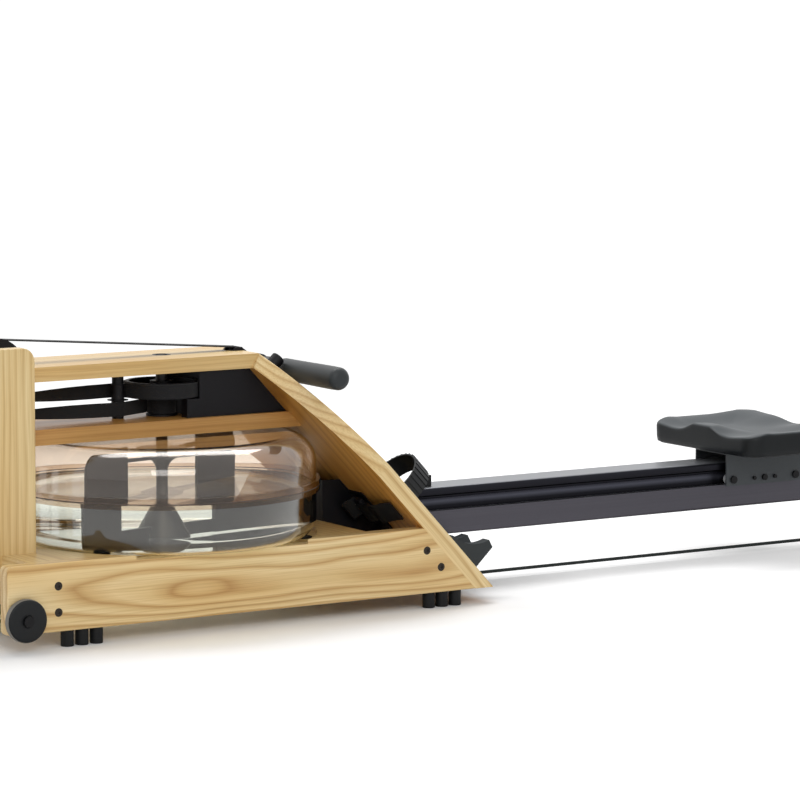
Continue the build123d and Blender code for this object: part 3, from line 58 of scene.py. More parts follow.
# Far off on the machine's left, a little above it, with a long lens.
camera_place = Vector((-4.068, -6.061, 1.187))
camera_direction = Vector((0.5376, 0.8350, -0.1170))
camera_roll = math.radians(0.10)
lens = bpy.data.cameras.new("studio_camera")
lens.sensor_width = 36.0
lens.lens = 184.7
lens.clip_end = 200.0
camera = bpy.data.objects.new("studio_camera", lens)
bpy.context.scene.collection.objects.link(camera)
camera.matrix_world = looking(camera_place, camera_direction) @ Matrix.Rotation(camera_roll, 4, "Z")
bpy.context.scene.camera = camera
bpy.context.scene.view_settings.view_transform = "Standard"

# ------------------------------------------------------------------ node and material helpers
wave_scale = 0.314  # a wave texture of this scale repeats every metre
millimetre = 0.001
same_place = 1e-6  # points closer than this are one


def hue(code, strength=1.0):
    """An sRGB hex colour as the linear values that a shader takes, darker or lighter by strength."""
    shares = [int(code[i : i + 2], 16) / 255 for i in (1, 3, 5)]
    linear = [s / 12.92 if s <= 0.04045 else ((s + 0.055) / 1.055) ** 2.4 for s in shares]
    return (*(min(1.0, s * strength) for s in linear), 1.0)


def put(finish, kind, feeds=None, stops=None, **settings):
    """Adds a node and gives its outputs.

    settings are the node's own choices, feeds its inputs' values or what is linked to them, and
    stops the places and colours of a colour ramp.
    """
    node = finish.node_tree.nodes.new(kind)
    for name, value in settings.items():
        setattr(node, name, value)
    for name, value in (feeds or {}).items():
        if isinstance(value, bpy.types.NodeSocket):
            finish.node_tree.links.new(value, node.inputs[name])
        else:
            node.inputs[name].default_value = value
    if stops:
        ramp = node.color_ramp
        while len(ramp.elements) < len(stops):
            ramp.elements.new(1.0)
        for element, (place, colour) in zip(ramp.elements, stops):
            element.position = place
            element.color = colour
    return node.outputs


def start_finish(name):
    """An empty node material."""
    finish = bpy.data.materials.new(name)
    finish.use_nodes = True
    finish.node_tree.nodes.clear()
    return finish


def close_finish(finish, shader):
    """The finished material, with the shader on its surface."""
    put(finish, "ShaderNodeOutputMaterial", {"Surface": shader})
    return finish


def facing_share(finish, start, end):
    """Grows from 0 to 1 as the surface's upward tilt goes from start to end, where 1 is straight up."""
    normal = put(finish, "ShaderNodeTexCoord")["Normal"]
    upward = put(finish, "ShaderNodeSeparateXYZ", {0: normal})["Z"]
    return put(finish, "ShaderNodeMapRange", {"Value": upward, "From Min": start, "From Max": end})[0]


# ------------------------------------------------------------------ wood
def lacquered_ash(name, turn, pith, ring=0.0075, wander=15.0, figure=0.8, tint="#FFFFFF", under="#FFFFFF"):
    """Flat-sawn ash under clear satin lacquer: pale earlywood with darker latewood lines.

    Growth rings run round each board's own pith, so its faces show arches and long lines and its
    ends show arcs. turn brings the grain onto X, and pith is the ring centre's place after that.
    figure is how strongly the rings show, and tint is a shade over the whole board; on the mid deck
    it is painted shade. under is painted shade, a deeper shade laid on the faces that look down.
    """
    finish = start_finish(name)
    places = put(finish, "ShaderNodeTexCoord")["Object"]
    along = put(finish, "ShaderNodeMapping", {"Vector": places, "Location": pith, "Rotation": turn})[0]
    ring_way = put(finish, "ShaderNodeMapping", {"Vector": along, "Scale": (0.17, 1, 1)})[0]
    rings = put(
        finish,
        "ShaderNodeTexWave",
        {
            "Vector": ring_way,
            "Scale": wave_scale / ring,
            "Distortion": wander,
            "Detail": 1.6,
            "Detail Scale": 0.42,
            "Detail Roughness": 0.42,
        },
        wave_type="RINGS",
        rings_direction="X",
        wave_profile="SAW",
    )["Color"]
    ring_stops = [
        (0.0, hue("#B98F50")),
        (0.12, hue("#D2B178")),
        (0.34, hue("#E3CA95")),
        (0.70, hue("#ECD5A4")),
        (0.90, hue("#D6B67C")),
        (1.0, hue("#B98F50")),
    ]
    ring_tone = put(finish, "ShaderNodeValToRGB", {"Fac": rings}, ring_stops)["Color"]
    # Fibres and open pores, 2 mm wide here so that they show.
    fibre_way = put(finish, "ShaderNodeMapping", {"Vector": along, "Scale": (7, 520, 520)})[0]
    fibre_feeds = {"Vector": fibre_way, "Scale": 1.0, "Detail": 3.0, "Roughness": 0.6}
    fibres = put(finish, "ShaderNodeTexNoise", fibre_feeds)["Fac"]
    fibre_stops = [(0.30, hue("#E6DDCD")), (0.55, hue("#FFFFFF"))]
    fibre_tone = put(finish, "ShaderNodeValToRGB", {"Fac": fibres}, fibre_stops)["Color"]
    # Paler and deeper areas, a hand's breadth long.
    broad_way = put(finish, "ShaderNodeMapping", {"Vector": along, "Scale": (2.2, 14, 14)})[0]
    broad = put(finish, "ShaderNodeTexNoise", {"Vector": broad_way, "Scale": 1.0, "Detail": 2.0})["Fac"]
    broad_stops = [(0.3, hue("#F3E4C8")), (0.7, hue("#FFFFFF"))]
    broad_tone = put(finish, "ShaderNodeValToRGB", {"Fac": broad}, broad_stops)["Color"]
    even = hue("#E2C992")
    colour = put(finish, "ShaderNodeMix", {0: figure, 6: even, 7: ring_tone}, data_type="RGBA")[2]
    # The last tone, tint, multiplies the whole board; on the mid deck it is painted shade.
    for share, tone in ((0.8, fibre_tone), (0.9, broad_tone), (1.0, hue(tint))):
        feeds = {0: share, 6: colour, 7: tone}
        colour = put(finish, "ShaderNodeMix", feeds, data_type="RGBA", blend_type="MULTIPLY")[2]
    # Painted shade: faces that look down are multiplied by the under colour, as shade under the board.
    feeds = {0: 1.0, 6: colour, 7: hue(under)}
    deeper = put(finish, "ShaderNodeMix", feeds, data_type="RGBA", blend_type="MULTIPLY")[2]
    feeds = {0: facing_share(finish, -0.3, -0.6), 6: colour, 7: deeper}
    colour = put(finish, "ShaderNodeMix", feeds, data_type="RGBA")[2]
    shine = put(finish, "ShaderNodeMapRange", {"Value": fibres, "To Min": 0.48, "To Max": 0.36})[0]
    relief = put(finish, "ShaderNodeBump", {"Height": fibres, "Strength": 0.12, "Distance": 0.0004})[0]
    board = put(
        finish,
        "ShaderNodeBsdfPrincipled",
        {
            "Base Color": colour,
            "Roughness": shine,
            "IOR": 1.5,
            "Normal": relief,
            "Coat Weight": 0.25,
            "Coat Roughness": 0.28,
            "Coat IOR": 1.5,
        },
    )[0]
    return close_finish(finish, board)


# ------------------------------------------------------------------ plastics, rubber, metal
def mottled(
    name, colour, roughness, grain, relief, metallic=0.0, ior=1.5, sheen=0.0, gloss=0.5, painted_top_light=None
):
    """An even moulded, coated or foamed surface with a fine grain of the given size in metres.

    relief is how strongly the grain stands out, gloss how strongly the surface mirrors, and crown a
    paler shade painted on the faces that look up, as light falling from above.
    """
    finish = start_finish(name)
    places = put(finish, "ShaderNodeTexCoord")["Object"]
    speck = put(finish, "ShaderNodeTexNoise", {"Vector": places, "Scale": 1 / grain, "Detail": 2.0})["Fac"]
    cloud = put(finish, "ShaderNodeTexNoise", {"Vector": places, "Scale": 14.0, "Detail": 2.0})["Fac"]
    feeds = {0: cloud, 6: hue(colour, 0.88), 7: hue(colour, 1.12)}
    base = put(finish, "ShaderNodeMix", feeds, data_type="RGBA")[2]
    # Painted light: faces that look up take the paler crown colour.
    if painted_top_light:
        feeds = {0: facing_share(finish, 0.45, 0.97), 6: base, 7: hue(painted_top_light)}
        base = put(finish, "ShaderNodeMix", feeds, data_type="RGBA")[2]
    feeds = {"Value": cloud, "To Min": roughness - 0.05, "To Max": roughness + 0.05}
    shine = put(finish, "ShaderNodeMapRange", feeds)[0]
    bump = put(finish, "ShaderNodeBump", {"Height": speck, "Strength": relief, "Distance": grain * 0.3})[0]
    body = put(
        finish,
        "ShaderNodeBsdfPrincipled",
        {
            "Base Color": base,
            "Roughness": shine,
            "Metallic": metallic,
            "IOR": ior,
            "Specular IOR Level": gloss,
            "Sheen Weight": sheen,
            "Normal": bump,
        },
    )[0]
    return close_finish(finish, body)


def anodised_aluminium(name, colour, groove_low, rail_top):
    """Extruded rail, black anodised: a satin metal with faint die lines along X, 3 mm apart.

    Above the groove's lower edge the colour is painted shade, darker in the groove and on its lip,
    with a lighter band in the groove's middle as a painted highlight; the faces that look up are
    painted lighter, as light from above.
    """
    finish = start_finish(name)
    places = put(finish, "ShaderNodeTexCoord")["Object"]
    line_way = put(finish, "ShaderNodeMapping", {"Vector": places, "Scale": (1.5, 330, 330)})[0]
    lines = put(finish, "ShaderNodeTexNoise", {"Vector": line_way, "Scale": 1.0, "Detail": 2.0})["Fac"]
    height = put(finish, "ShaderNodeSeparateXYZ", {0: places})["Z"]
    feeds = {"Value": height, "From Min": groove_low, "From Max": rail_top}
    level = put(finish, "ShaderNodeMapRange", feeds)[0]
    # Painted shade from the groove's lower edge up to the rail's top, with a painted highlight band at
    # 0.36.
    painted_groove_shade_stops = [
        (0.0, hue("#121218")),
        (0.18, hue("#17171D")),
        (0.36, hue("#4A4B55")),
        (0.52, hue("#202028")),
        (0.62, hue("#0E0E13")),
        (0.70, hue("#1C1C22")),
        (1.0, hue("#26262D")),
    ]
    groove = put(finish, "ShaderNodeValToRGB", {"Fac": level}, painted_groove_shade_stops)["Color"]
    painted_shade_above = put(finish, "ShaderNodeMath", {0: height, 1: groove_low}, operation="GREATER_THAN")[0]
    feeds = {0: lines, 6: hue(colour, 0.85), 7: hue(colour)}
    base = put(finish, "ShaderNodeMix", feeds, data_type="RGBA")[2]
    # Painted shade above the groove's lower edge, then painted light on the faces that look up.
    for share, tone in ((painted_shade_above, groove), (facing_share(finish, 0.6, 0.9), hue("#85878C"))):
        base = put(finish, "ShaderNodeMix", {0: share, 6: base, 7: tone}, data_type="RGBA")[2]
    shine = put(finish, "ShaderNodeMapRange", {"Value": lines, "To Min": 0.30, "To Max": 0.40})[0]
    bump = put(finish, "ShaderNodeBump", {"Height": lines, "Strength": 0.05, "Distance": 0.0005})[0]
    feeds = {"Base Color": base, "Metallic": 0.85, "Roughness": shine, "Normal": bump}
    return close_finish(finish, put(finish, "ShaderNodeBsdfPrincipled", feeds)[0])


def woven(name, colour, thread, across, roughness=0.75):
    """Polyester webbing or braid: threads of the given pitch that run across one axis.

    The threads are drawn two to three times as wide as they are, so that they show.
    """
    finish = start_finish(name)
    places = put(finish, "ShaderNodeTexCoord")["Object"]
    feeds = {"Vector": places, "Scale": wave_scale / thread, "Distortion": 0.6}
    warp = put(finish, "ShaderNodeTexWave", feeds, wave_type="BANDS", bands_direction="DIAGONAL")["Fac"]
    feeds["Detail Scale"] = 3.0
    weft = put(finish, "ShaderNodeTexWave", feeds, wave_type="BANDS", bands_direction=across)["Fac"]
    threads = put(finish, "ShaderNodeMath", {0: weft, 1: warp}, operation="MULTIPLY")[0]
    feeds = {0: threads, 6: hue(colour, 0.55), 7: hue(colour)}
    base = put(finish, "ShaderNodeMix", feeds, data_type="RGBA")[2]
    bump = put(finish, "ShaderNodeBump", {"Height": threads, "Strength": 0.5, "Distance": thread * 0.3})[0]
    body = put(
        finish,
        "ShaderNodeBsdfPrincipled",
        {
            "Base Color": base,
            "Roughness": roughness,
            "Sheen Weight": 0.12,
            "Sheen Roughness": 0.5,
            "Specular IOR Level": 0.3,
            "Normal": bump,
        },
    )[0]
    return close_finish(finish, body)


def clear(name, colour, ior, roughness=0.015):
    """Clear moulded plastic or water. Light that only casts a shadow goes straight through it."""
    finish = start_finish(name)
    feeds = {"Base Color": hue(colour), "Roughness": roughness, "IOR": ior, "Transmission Weight": 1.0}
    body = put(finish, "ShaderNodeBsdfPrincipled", feeds)[0]
    passed = put(finish, "ShaderNodeBsdfTransparent", {"Color": hue(colour)})[0]
    shadow_ray = put(finish, "ShaderNodeLightPath")["Is Shadow Ray"]
    return close_finish(finish, put(finish, "ShaderNodeMixShader", {0: shadow_ray, 1: body, 2: passed})[0])


along_x = (0, 0, 0)
along_y = (0, 0, math.radians(90))
along_z = (0, math.radians(90), 0)
board_slope = math.radians(46.8)
down_slope = (0, -board_slope, 0)

# Moulded ABS has a fine grain that spreads its highlights; the heel cups' is a little paler.
abs_black = mottled("moulded_abs", "#0F0E12", 0.45, 0.0012, 0.12, ior=1.53, gloss=0.2)
heel_abs = mottled("heel_cup_abs", "#24292B", 0.45, 0.0012, 0.12, ior=1.53, gloss=0.35)
# Powder coat on steel is a satin skin with a faint ripple.
powder_coat = mottled("powder_coated_steel", "#131317", 0.45, 0.0015, 0.18, gloss=0.25)
carriage_coat = mottled("grey_black_powder_coat", "#3E4245", 0.5, 0.0015, 0.15, gloss=0.4)
# Oxide leaves the screws a dark brownish metal; the bolts are blacker.
black_oxide = mottled("black_oxide_steel", "#37312C", 0.38, 0.001, 0.1, metallic=0.8)
bolt_black = mottled("blackened_bolt", "#0E0E10", 0.35, 0.001, 0.08, metallic=0.3, gloss=0.3)
# Moulded rubber is matt and deep black; the wheel's tread is painted grey as light falling on it.
foot_rubber = mottled("buffer_rubber", "#0E0F10", 0.6, 0.0015, 0.2, ior=1.52, gloss=0.25)
tyre_rubber = mottled("tyre_rubber", "#121416", 0.5, 0.0015, 0.2, ior=1.52, gloss=0.25)
painted_tread_light = mottled("grey_tread_painted_light", "#77746E", 0.65, 0.0015, 0.2, ior=1.52)
ribbed_rubber = mottled("footstrap_rubber", "#141618", 0.45, 0.0015, 0.15, gloss=0.35)
# Nylon rollers are pale grey and smooth.
roller_nylon = mottled("seat_roller_nylon", "#A9ABAD", 0.35, 0.001, 0.05)
# Foam for the hands is dull with a soft edge; the seat's has a moulded skin, painted paler on top as light
# from above.
grip_foam = mottled("closed_cell_foam_grip", "#1F2426", 0.5, 0.0012, 0.25, ior=1.45, sheen=0.1)
seat_foam = mottled("integral_skin_foam", "#121517", 0.42, 0.0016, 0.12, gloss=0.22, painted_top_light="#42474A")
# Woven straps and the cord's braided sheath break the light into small threads.
webbing = woven("polyester_webbing", "#121215", 0.002, "X")
braid = woven("braided_cord_sheath", "#2E3533", 0.0025, "X", 0.8)
rail_low, rail_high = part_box("monorail")
groove_height = 0.0435  # the side groove's lower edge over the rail's underside
rail_finish = anodised_aluminium(
    "black_anodised_aluminium", "#55535A", rail_low.z + groove_height, rail_high.z
)
# The paddle's painted steel has a dull shine.
blade_steel = mottled("black_paddle", "#2F2B29", 0.33, 0.002, 0.05, metallic=0.2)
# Polycarbonate is clear in the bowl, smoked in the lid, and brown at the flanges' edges.
clear_polycarbonate = clear("clear_polycarbonate", "#F6F6F2", 1.58)
smoked_polycarbonate = clear("smoked_polycarbonate", "#F4EADF", 1.58)
tinted_edge = clear("tank_flange_edge", "#AB8C70", 1.58, 0.06)
# Still water mirrors a little and bends what is seen through it less than the plastic does.
water_finish = clear("still_water", "#ECEFE8", 1.333, 0.0)

# Name, turn, pith, ring width, wander, figure and tint of each board, in the order of lacquered_ash.
wood = {
    "base_rail_left": lacquered_ash("ash_left_rail", along_x, (0.62, 0.252, -0.083), 0.0125, 19.0, 0.85),
    "base_rail_right": lacquered_ash("ash_right_rail", along_x, (0.15, -0.245, -0.080), 0.012, 17.0, 0.8),
    # The footboard's under colour is painted shade on its downward faces.
    "footboard": lacquered_ash(
        "ash_footboard", down_slope, (0.4, 0.06, -0.05), 0.013, 14.0, 0.7, under="#F6D49C"
    ),
    "top_deck": lacquered_ash("ash_top_deck", along_x, (0.2, 0.03, -0.60), 0.010, 6.0, 0.3, "#FCF8F2"),
    # The mid deck's deeper tint is painted shade, as it lies under the top deck.
    "mid_deck": lacquered_ash("ash_mid_deck", along_x, (0.7, -0.03, -0.42), 0.010, 6.0, 0.35, "#DABA8C"),
    "front_post_left": lacquered_ash("ash_left_post", along_z, (0.3, 0.05, -0.93), 0.009, 6.0, 0.4),
    "front_post_right": lacquered_ash("ash_right_post", along_z, (0.8, -0.05, -0.95), 0.009, 6.0, 0.4),
    "front_plank": lacquered_ash("ash_front_plank", along_y, (0.1, 0.9, -0.05), 0.011, 12.0, 0.5),
    "rear_plank": lacquered_ash("ash_rear_plank", along_y, (0.5, 0.5, -0.05), 0.011, 12.0, 0.5),
    "rear_leg": lacquered_ash("ash_rear_leg", along_z, (0.4, 0.02, 1.15), 0.012, 12.0, 0.7),
}
made_of = (
    (foot_rubber, "rubber_feet seat_stops tank_pads"),
    (abs_black, "guide_housing strap_guide drive_drum guide_roller front_pulley recoil_pulley cord_pulley"),
    (abs_black, "fill_plug footplate_left footplate_right cord_anchor shaft_bearings handle_pegs"),
    (abs_black, "strap_roller"),
    (heel_abs, "heel_cup_left heel_cup_right"),
    (black_oxide, "frame_screws"),
    (bolt_black, "wheel_bolts monorail_bolts seat_bolts pulley_axles guide_post"),
    (powder_coat, "monorail_bracket leg_bracket cord_pulley_bracket handle_bar"),
    (roller_nylon, "seat_rollers_front seat_rollers_rear"),
    (carriage_coat, "seat_carriage"),
    (webbing, "drive_strap recoil_strap"),
    (braid, "recoil_cord"),
    (rail_finish, "monorail"),
    (blade_steel, "paddle"),
)
finishes = wood | {name: finish for finish, names in made_of for name in names.split()}
for name, finish in finishes.items():
    for socket in nodes[name].material_slots:
        socket.material = finish

# ------------------------------------------------------------------ piece helpers
def piece(name, shape, finish, body=None, stands_for=(), sharp=35):
    """Makes an object from a bmesh, smooth but for its sharp edges, and lets it ride on a body."""
    mesh = bpy.data.meshes.new(name)
    shape.to_mesh(mesh)
    shape.free()
    made = bpy.data.objects.new(name, mesh)
    bpy.context.scene.collection.objects.link(made)
    mesh.materials.append(finish)
    mesh.shade_smooth()
    mesh.set_sharp_from_angle(angle=math.radians(sharp))
    if body:
        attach(made, body)
    if stands_for:
        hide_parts(*stands_for)
    return made


def turned(profile, steps=96, closed=True):
    """A shape turned round Z from points (radius, height)."""
    shape = bmesh.new()
    row = [shape.verts.new((radius, 0, height)) for radius, height in profile]
    pairs = list(zip(row, row[1:])) + ([(row[-1], row[0])] if closed else [])
    edges = [shape.edges.new(pair) for pair in pairs]
    bmesh.ops.spin(
        shape, geom=row + edges, cent=(0, 0, 0), axis=(0, 0, 1), angle=math.tau, steps=steps, use_merge=True
    )
    bmesh.ops.remove_doubles(shape, verts=shape.verts, dist=same_place)
    bmesh.ops.recalc_face_normals(shape, faces=shape.faces)
    return shape


def arc(centre, radius, first, last, count=10):
    """Points on an arc, angles in degrees."""
    points = []
    for index in range(count + 1):
        angle = math.radians(first + (last - first) * index / count)
        points.append((centre[0] + radius * math.cos(angle), centre[1] + radius * math.sin(angle)))
    return points


def moved(shape, place, turn=Matrix.Identity(4)):
    """The shape turned and then moved to place."""
    bmesh.ops.transform(shape, matrix=Matrix.Translation(place) @ turn, verts=shape.verts)
    return shape


def laid_out(side):
    """Turns +Z outwards, towards the machine's own left or right."""
    return Matrix.Rotation(math.radians(-90 * side), 4, "X")


def strip(columns, rows, thickness, place, *more, turn_first=True):
    """A thickened sheet. place turns shares along and across, from -1 to 1, into a point."""
    shape = bmesh.new()
    bmesh.ops.create_grid(shape, x_segments=columns, y_segments=rows, size=1.0)
    for vert in shape.verts:
        vert.co = place(vert.co.x, vert.co.y, *more)
    if turn_first:
        bmesh.ops.recalc_face_normals(shape, faces=shape.faces)
    bmesh.ops.solidify(shape, geom=shape.faces[:], thickness=thickness)
    bmesh.ops.recalc_face_normals(shape, faces=shape.faces)
    return shape


# ------------------------------------------------------------------ tank and water
bowl_low, bowl_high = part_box("tank_bowl")
lid_low, lid_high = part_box("tank_lid")
tank_middle = Vector(((bowl_low.x + bowl_high.x) / 2, 0, 0))
flange_radius = (bowl_high.x - bowl_low.x) / 2
wall_radius = flange_radius - 0.006
tank_wall = 0.004
flange_thickness = 0.0085
bowl_corner = 0.032
lid_corner = 0.050
bearing_hole = 0.016
plug_hole = 0.01605
tank_steps = 160
inner_radius = wall_radius - tank_wall
bowl_corner_centre = (wall_radius - bowl_corner, bowl_low.z + bowl_corner)
lid_corner_centre = (wall_radius - lid_corner, lid_high.z - lid_corner)

bowl_profile = (
    [
        (flange_radius, bowl_high.z - flange_thickness),
        (flange_radius, bowl_high.z),
        (inner_radius, bowl_high.z),
    ]
    + arc(bowl_corner_centre, bowl_corner - tank_wall, 0, -90)
    + [(0.0, bowl_low.z + tank_wall), (0.0, bowl_low.z)]
    + arc(bowl_corner_centre, bowl_corner, -90, 0)
    + [(wall_radius, bowl_high.z - flange_thickness)]
)


def tint_flange(shape):
    """Marks the flange's outer edge, where the plastic's own brown shows."""
    for face in shape.faces:
        if face.calc_center_median().xy.length > flange_radius - 0.5 * millimetre:
            face.material_index = 1


bowl = turned(bowl_profile, tank_steps)
tint_flange(bowl)
moved(bowl, tank_middle)
bowl_piece = piece("clear_tank_bowl", bowl, clear_polycarbonate, "frame", ("tank_bowl",), 50)
bowl_piece.data.materials.append(tinted_edge)

# The lid's inside and outside are turned apart, so that its flat top can be filled round its holes.
inside = [
    (flange_radius, lid_low.z + flange_thickness),
    (flange_radius, lid_low.z),
    (inner_radius, lid_low.z),
] + arc(lid_corner_centre, lid_corner - tank_wall, 0, 90, 14)
lid = turned(inside[::-1], tank_steps, closed=False)
outside = arc(lid_corner_centre, lid_corner, 90, 0, 14)
outside += [(wall_radius, lid_low.z + flange_thickness), (flange_radius, lid_low.z + flange_thickness)]
shell = turned(outside, tank_steps, closed=False)
shell_mesh = bpy.data.meshes.new("lid_outside")
shell.to_mesh(shell_mesh)
shell.free()
lid.from_mesh(shell_mesh)
# The flat top has holes for the shaft's bearing and for the filler plug.
plug_low, plug_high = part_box("fill_plug")
plug_middle = (plug_low + plug_high) / 2 - tank_middle
for height in (lid_high.z, lid_high.z - tank_wall):
    loops = [
        edge
        for edge in lid.edges
        if edge.is_boundary and all(abs(vert.co.z - height) < same_place for vert in edge.verts)
    ]
    for place, radius in ((Vector((0, 0, 0)), bearing_hole), (plug_middle, plug_hole)):
        centre = Matrix.Translation((place.x, place.y, height))
        ring = bmesh.ops.create_circle(lid, radius=radius, segments=40, matrix=centre)["verts"]
        loops += list({edge for vert in ring for edge in vert.link_edges})
    bmesh.ops.triangle_fill(lid, edges=loops, use_beauty=True, use_dissolve=True)
flat_radius = wall_radius - lid_corner - millimetre
rims = [edge for edge in lid.edges if edge.is_boundary and edge.verts[0].co.xy.length < flat_radius]
bearing_rims = [edge for edge in rims if edge.verts[0].co.xy.length < bearing_hole + 4 * millimetre]
plug_rims = [edge for edge in rims if edge not in bearing_rims]
bmesh.ops.bridge_loops(lid, edges=bearing_rims)
bmesh.ops.bridge_loops(lid, edges=plug_rims)
bmesh.ops.remove_doubles(lid, verts=lid.verts, dist=same_place)
bmesh.ops.recalc_face_normals(lid, faces=lid.faces)
tint_flange(lid)
moved(lid, tank_middle)
lid_piece = piece("smoked_tank_lid", lid, smoked_polycarbonate, "frame", ("tank_lid",), 50)
lid_piece.data.materials.append(tinted_edge)

seal_outer, seal_inner = flange_radius - 0.001, flange_radius - 0.008
seal_play = 0.0003  # over and under the seal
seal_profile = [
    (seal_outer, bowl_high.z + seal_play),
    (seal_outer, lid_low.z - seal_play),
    (seal_inner, lid_low.z - seal_play),
    (seal_inner, bowl_high.z + seal_play),
]
seal = moved(turned(seal_profile, tank_steps), tank_middle)
seal_finish = mottled("clear_grey_seal", "#5A4F48", 0.4, 0.002, 0.05)
piece("tank_seal", seal, seal_finish, "frame", ("tank_gasket",))

film = 0.0004  # between the water and the wall
water_level = bowl_high.z - 0.002
water_profile = (
    [(0.0, water_level), (inner_radius - film, water_level)]
    + arc(bowl_corner_centre, bowl_corner - tank_wall - film, 0, -90)
    + [(0.0, bowl_low.z + tank_wall + film)]
)
water = moved(turned(water_profile, tank_steps, closed=False), tank_middle)
piece("tank_water", water, water_finish, "frame")

# ------------------------------------------------------------------ transport wheels
wheel_bore = 0.00505
hub_dish = 0.011  # radius of the shallow dish round the axle
inner_edge, outer_edge = 0.004, 0.005  # roundings of the wheel's two edges
tread_depth = 0.0012
for side, name in ((-1, "left"), (1, "right")):
    low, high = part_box(f"transport_wheel_{name}")
    middle = (low + high) / 2
    radius = (high.z - low.z) / 2
    half = (high.y - low.y) / 2
    profile = (
        [(wheel_bore, -half), (radius - inner_edge, -half)]
        + arc((radius - inner_edge, -half + inner_edge), inner_edge, -90, 0, 4)
        + arc((radius - outer_edge, half - outer_edge), outer_edge, 0, 90, 5)
        + [(hub_dish, half), (hub_dish - millimetre, half - millimetre), (wheel_bore, half - millimetre)]
    )
    wheel = moved(turned(profile), middle, laid_out(side))
    # Painted light: faces on the tread take the grey tread colour.
    for face in wheel.faces:
        reach = face.calc_center_median() - middle
        if math.hypot(reach.x, reach.z) > radius - tread_depth:
            face.material_index = 1
    node = f"transport_wheel_{name}"
    tyre = piece(f"wheel_{name}", wheel, tyre_rubber, f"wheel_{name}", (node,), 30)
    tyre.data.materials.append(painted_tread_light)

# ------------------------------------------------------------------ handle grips
grip_bore = 0.01105
grip_rounding = 0.012
grip_floor = 0.01745  # thickness of the foam past the bar's end
for side, name in ((-1, "left"), (1, "right")):
    low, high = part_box(f"handle_grip_{name}")
    middle = (low + high) / 2
    radius = (high.z - low.z) / 2
    length = high.y - low.y
    # The foam swells a little towards its closed, rounded end.
    profile = (
        [(grip_bore, 0.0), (radius - 0.003, 0.0), (radius - 0.001, 0.001), (radius - 0.0006, 0.004)]
        + [(radius - 0.0006, length * 0.3), (radius - 0.0002, length * 0.6), (radius, length - 0.03)]
        + [(radius - 0.0003, length - 0.0165)]
        + arc((radius - grip_rounding - 0.0003, length - grip_rounding), grip_rounding, 0, 90, 8)
        + [(0.0, length), (0.0, length - grip_floor), (grip_bore, length - grip_floor)]
    )
    start = Vector((middle.x, low.y if side > 0 else high.y, middle.z))
    grip = moved(turned(profile, 64), start, laid_out(side))
    piece(f"foam_grip_{name}", grip, grip_foam, "handle", (f"handle_grip_{name}",), 40)

# ------------------------------------------------------------------ seat pad
pad_low, pad_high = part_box("seat_pad")
pad_middle = (pad_low + pad_high) / 2
half_length = (pad_high.x - pad_low.x) / 2
half_width = (pad_high.y - pad_low.y) / 2


corner = 0.032  # radius of the pad's corners seen from above
top_inset = 0.005  # from the pad's side to where its top begins to round off
crest = 0.0475  # the top is nowhere higher than this


def step(value, first, last):
    """A smooth rise from 0 at first to 1 at last."""
    share = min(1.0, max(0.0, (value - first) / (last - first)))
    return share * share * (3 - 2 * share)


def pad_height(u, v):
    """Height of the seat's top over its underside, in metres, at u back and v across from its middle.

    A dish between side rims and a back rim with a dip in its middle, a pommel at the front, and a
    shallow hollow for each thigh.
    """
    dish = 0.031 + 0.004 * step(-u, 0.050, 0.105)
    side_rim = 0.012 * step(abs(v), 0.078, 0.148) * (1 - 0.75 * step(-u, 0.070, 0.112))
    back_rim = 0.014 * step(u, 0.015, 0.100) * (1 - 0.7 * math.exp(-((v / 0.045) ** 2)))
    pommel = 0.015 * math.exp(-((abs(v) / 0.046) ** 3)) * step(-u, 0.010, 0.095)
    thigh = 0.002 * math.exp(-(((abs(v) - 0.084) / 0.036) ** 2)) * step(-u, 0.030, 0.105)
    return min(crest, dish + max(side_rim, back_rim) + 0.3 * min(side_rim, back_rim) + pommel - thigh)


def past_corner(point):
    """How far a point lies past the centre of its rounded corner, along and across."""
    along = max(0.0, abs(point.x) - (half_length - corner))
    across = max(0.0, abs(point.y) - (half_width - corner))
    return Vector((along, across, 0))


def signed(size, like):
    """A vector of the given size with the signs of another."""
    return Vector((math.copysign(size.x, like.x), math.copysign(size.y, like.y), 0))


def rounded_outline(x, y):
    """A point of the square from -1 to 1 pulled onto the pad's rectangle with rounded corners."""
    spread = Vector((x * (half_length - top_inset), y * (half_width - top_inset), 0))
    room = past_corner(spread)
    if room.x > 0 and room.y > 0:
        far = max(room.x, room.y) / room.length
        pull = 1 - (1 - far) * max(abs(x), abs(y)) ** 3
        spread = signed(Vector((half_length - corner, half_width - corner, 0)) + room * pull, spread)
    return spread


def grown(shape, rim):
    """Adds one row of faces to a shape's open edge, and gives the row's points and its open edge."""
    made = bmesh.ops.extrude_edge_only(shape, edges=rim)["geom"]
    points = [item for item in made if isinstance(item, bmesh.types.BMVert)]
    return points, [item for item in made if isinstance(item, bmesh.types.BMEdge) and item.is_boundary]


seat = bmesh.new()
bmesh.ops.create_grid(seat, x_segments=56, y_segments=72, size=1.0)
for vert in seat.verts:
    vert.co = rounded_outline(vert.co.x, vert.co.y)
    vert.co.z = pad_height(vert.co.x, vert.co.y)
rim = [edge for edge in seat.edges if edge.is_boundary]
# The edge of the top rolls over in three rows.
for reach, drop in ((0.0026, 0.0012), (0.0018, 0.0026), (0.0006, 0.0040)):
    row, rim = grown(seat, rim)
    for vert in row:
        beyond = past_corner(vert.co)
        if beyond.length > same_place:
            outward = signed(beyond, vert.co).normalized()
        else:
            outward = Vector((vert.co.x / half_length**2, vert.co.y / half_width**2, 0)).normalized()
        vert.co += outward * reach
        vert.co.z -= drop
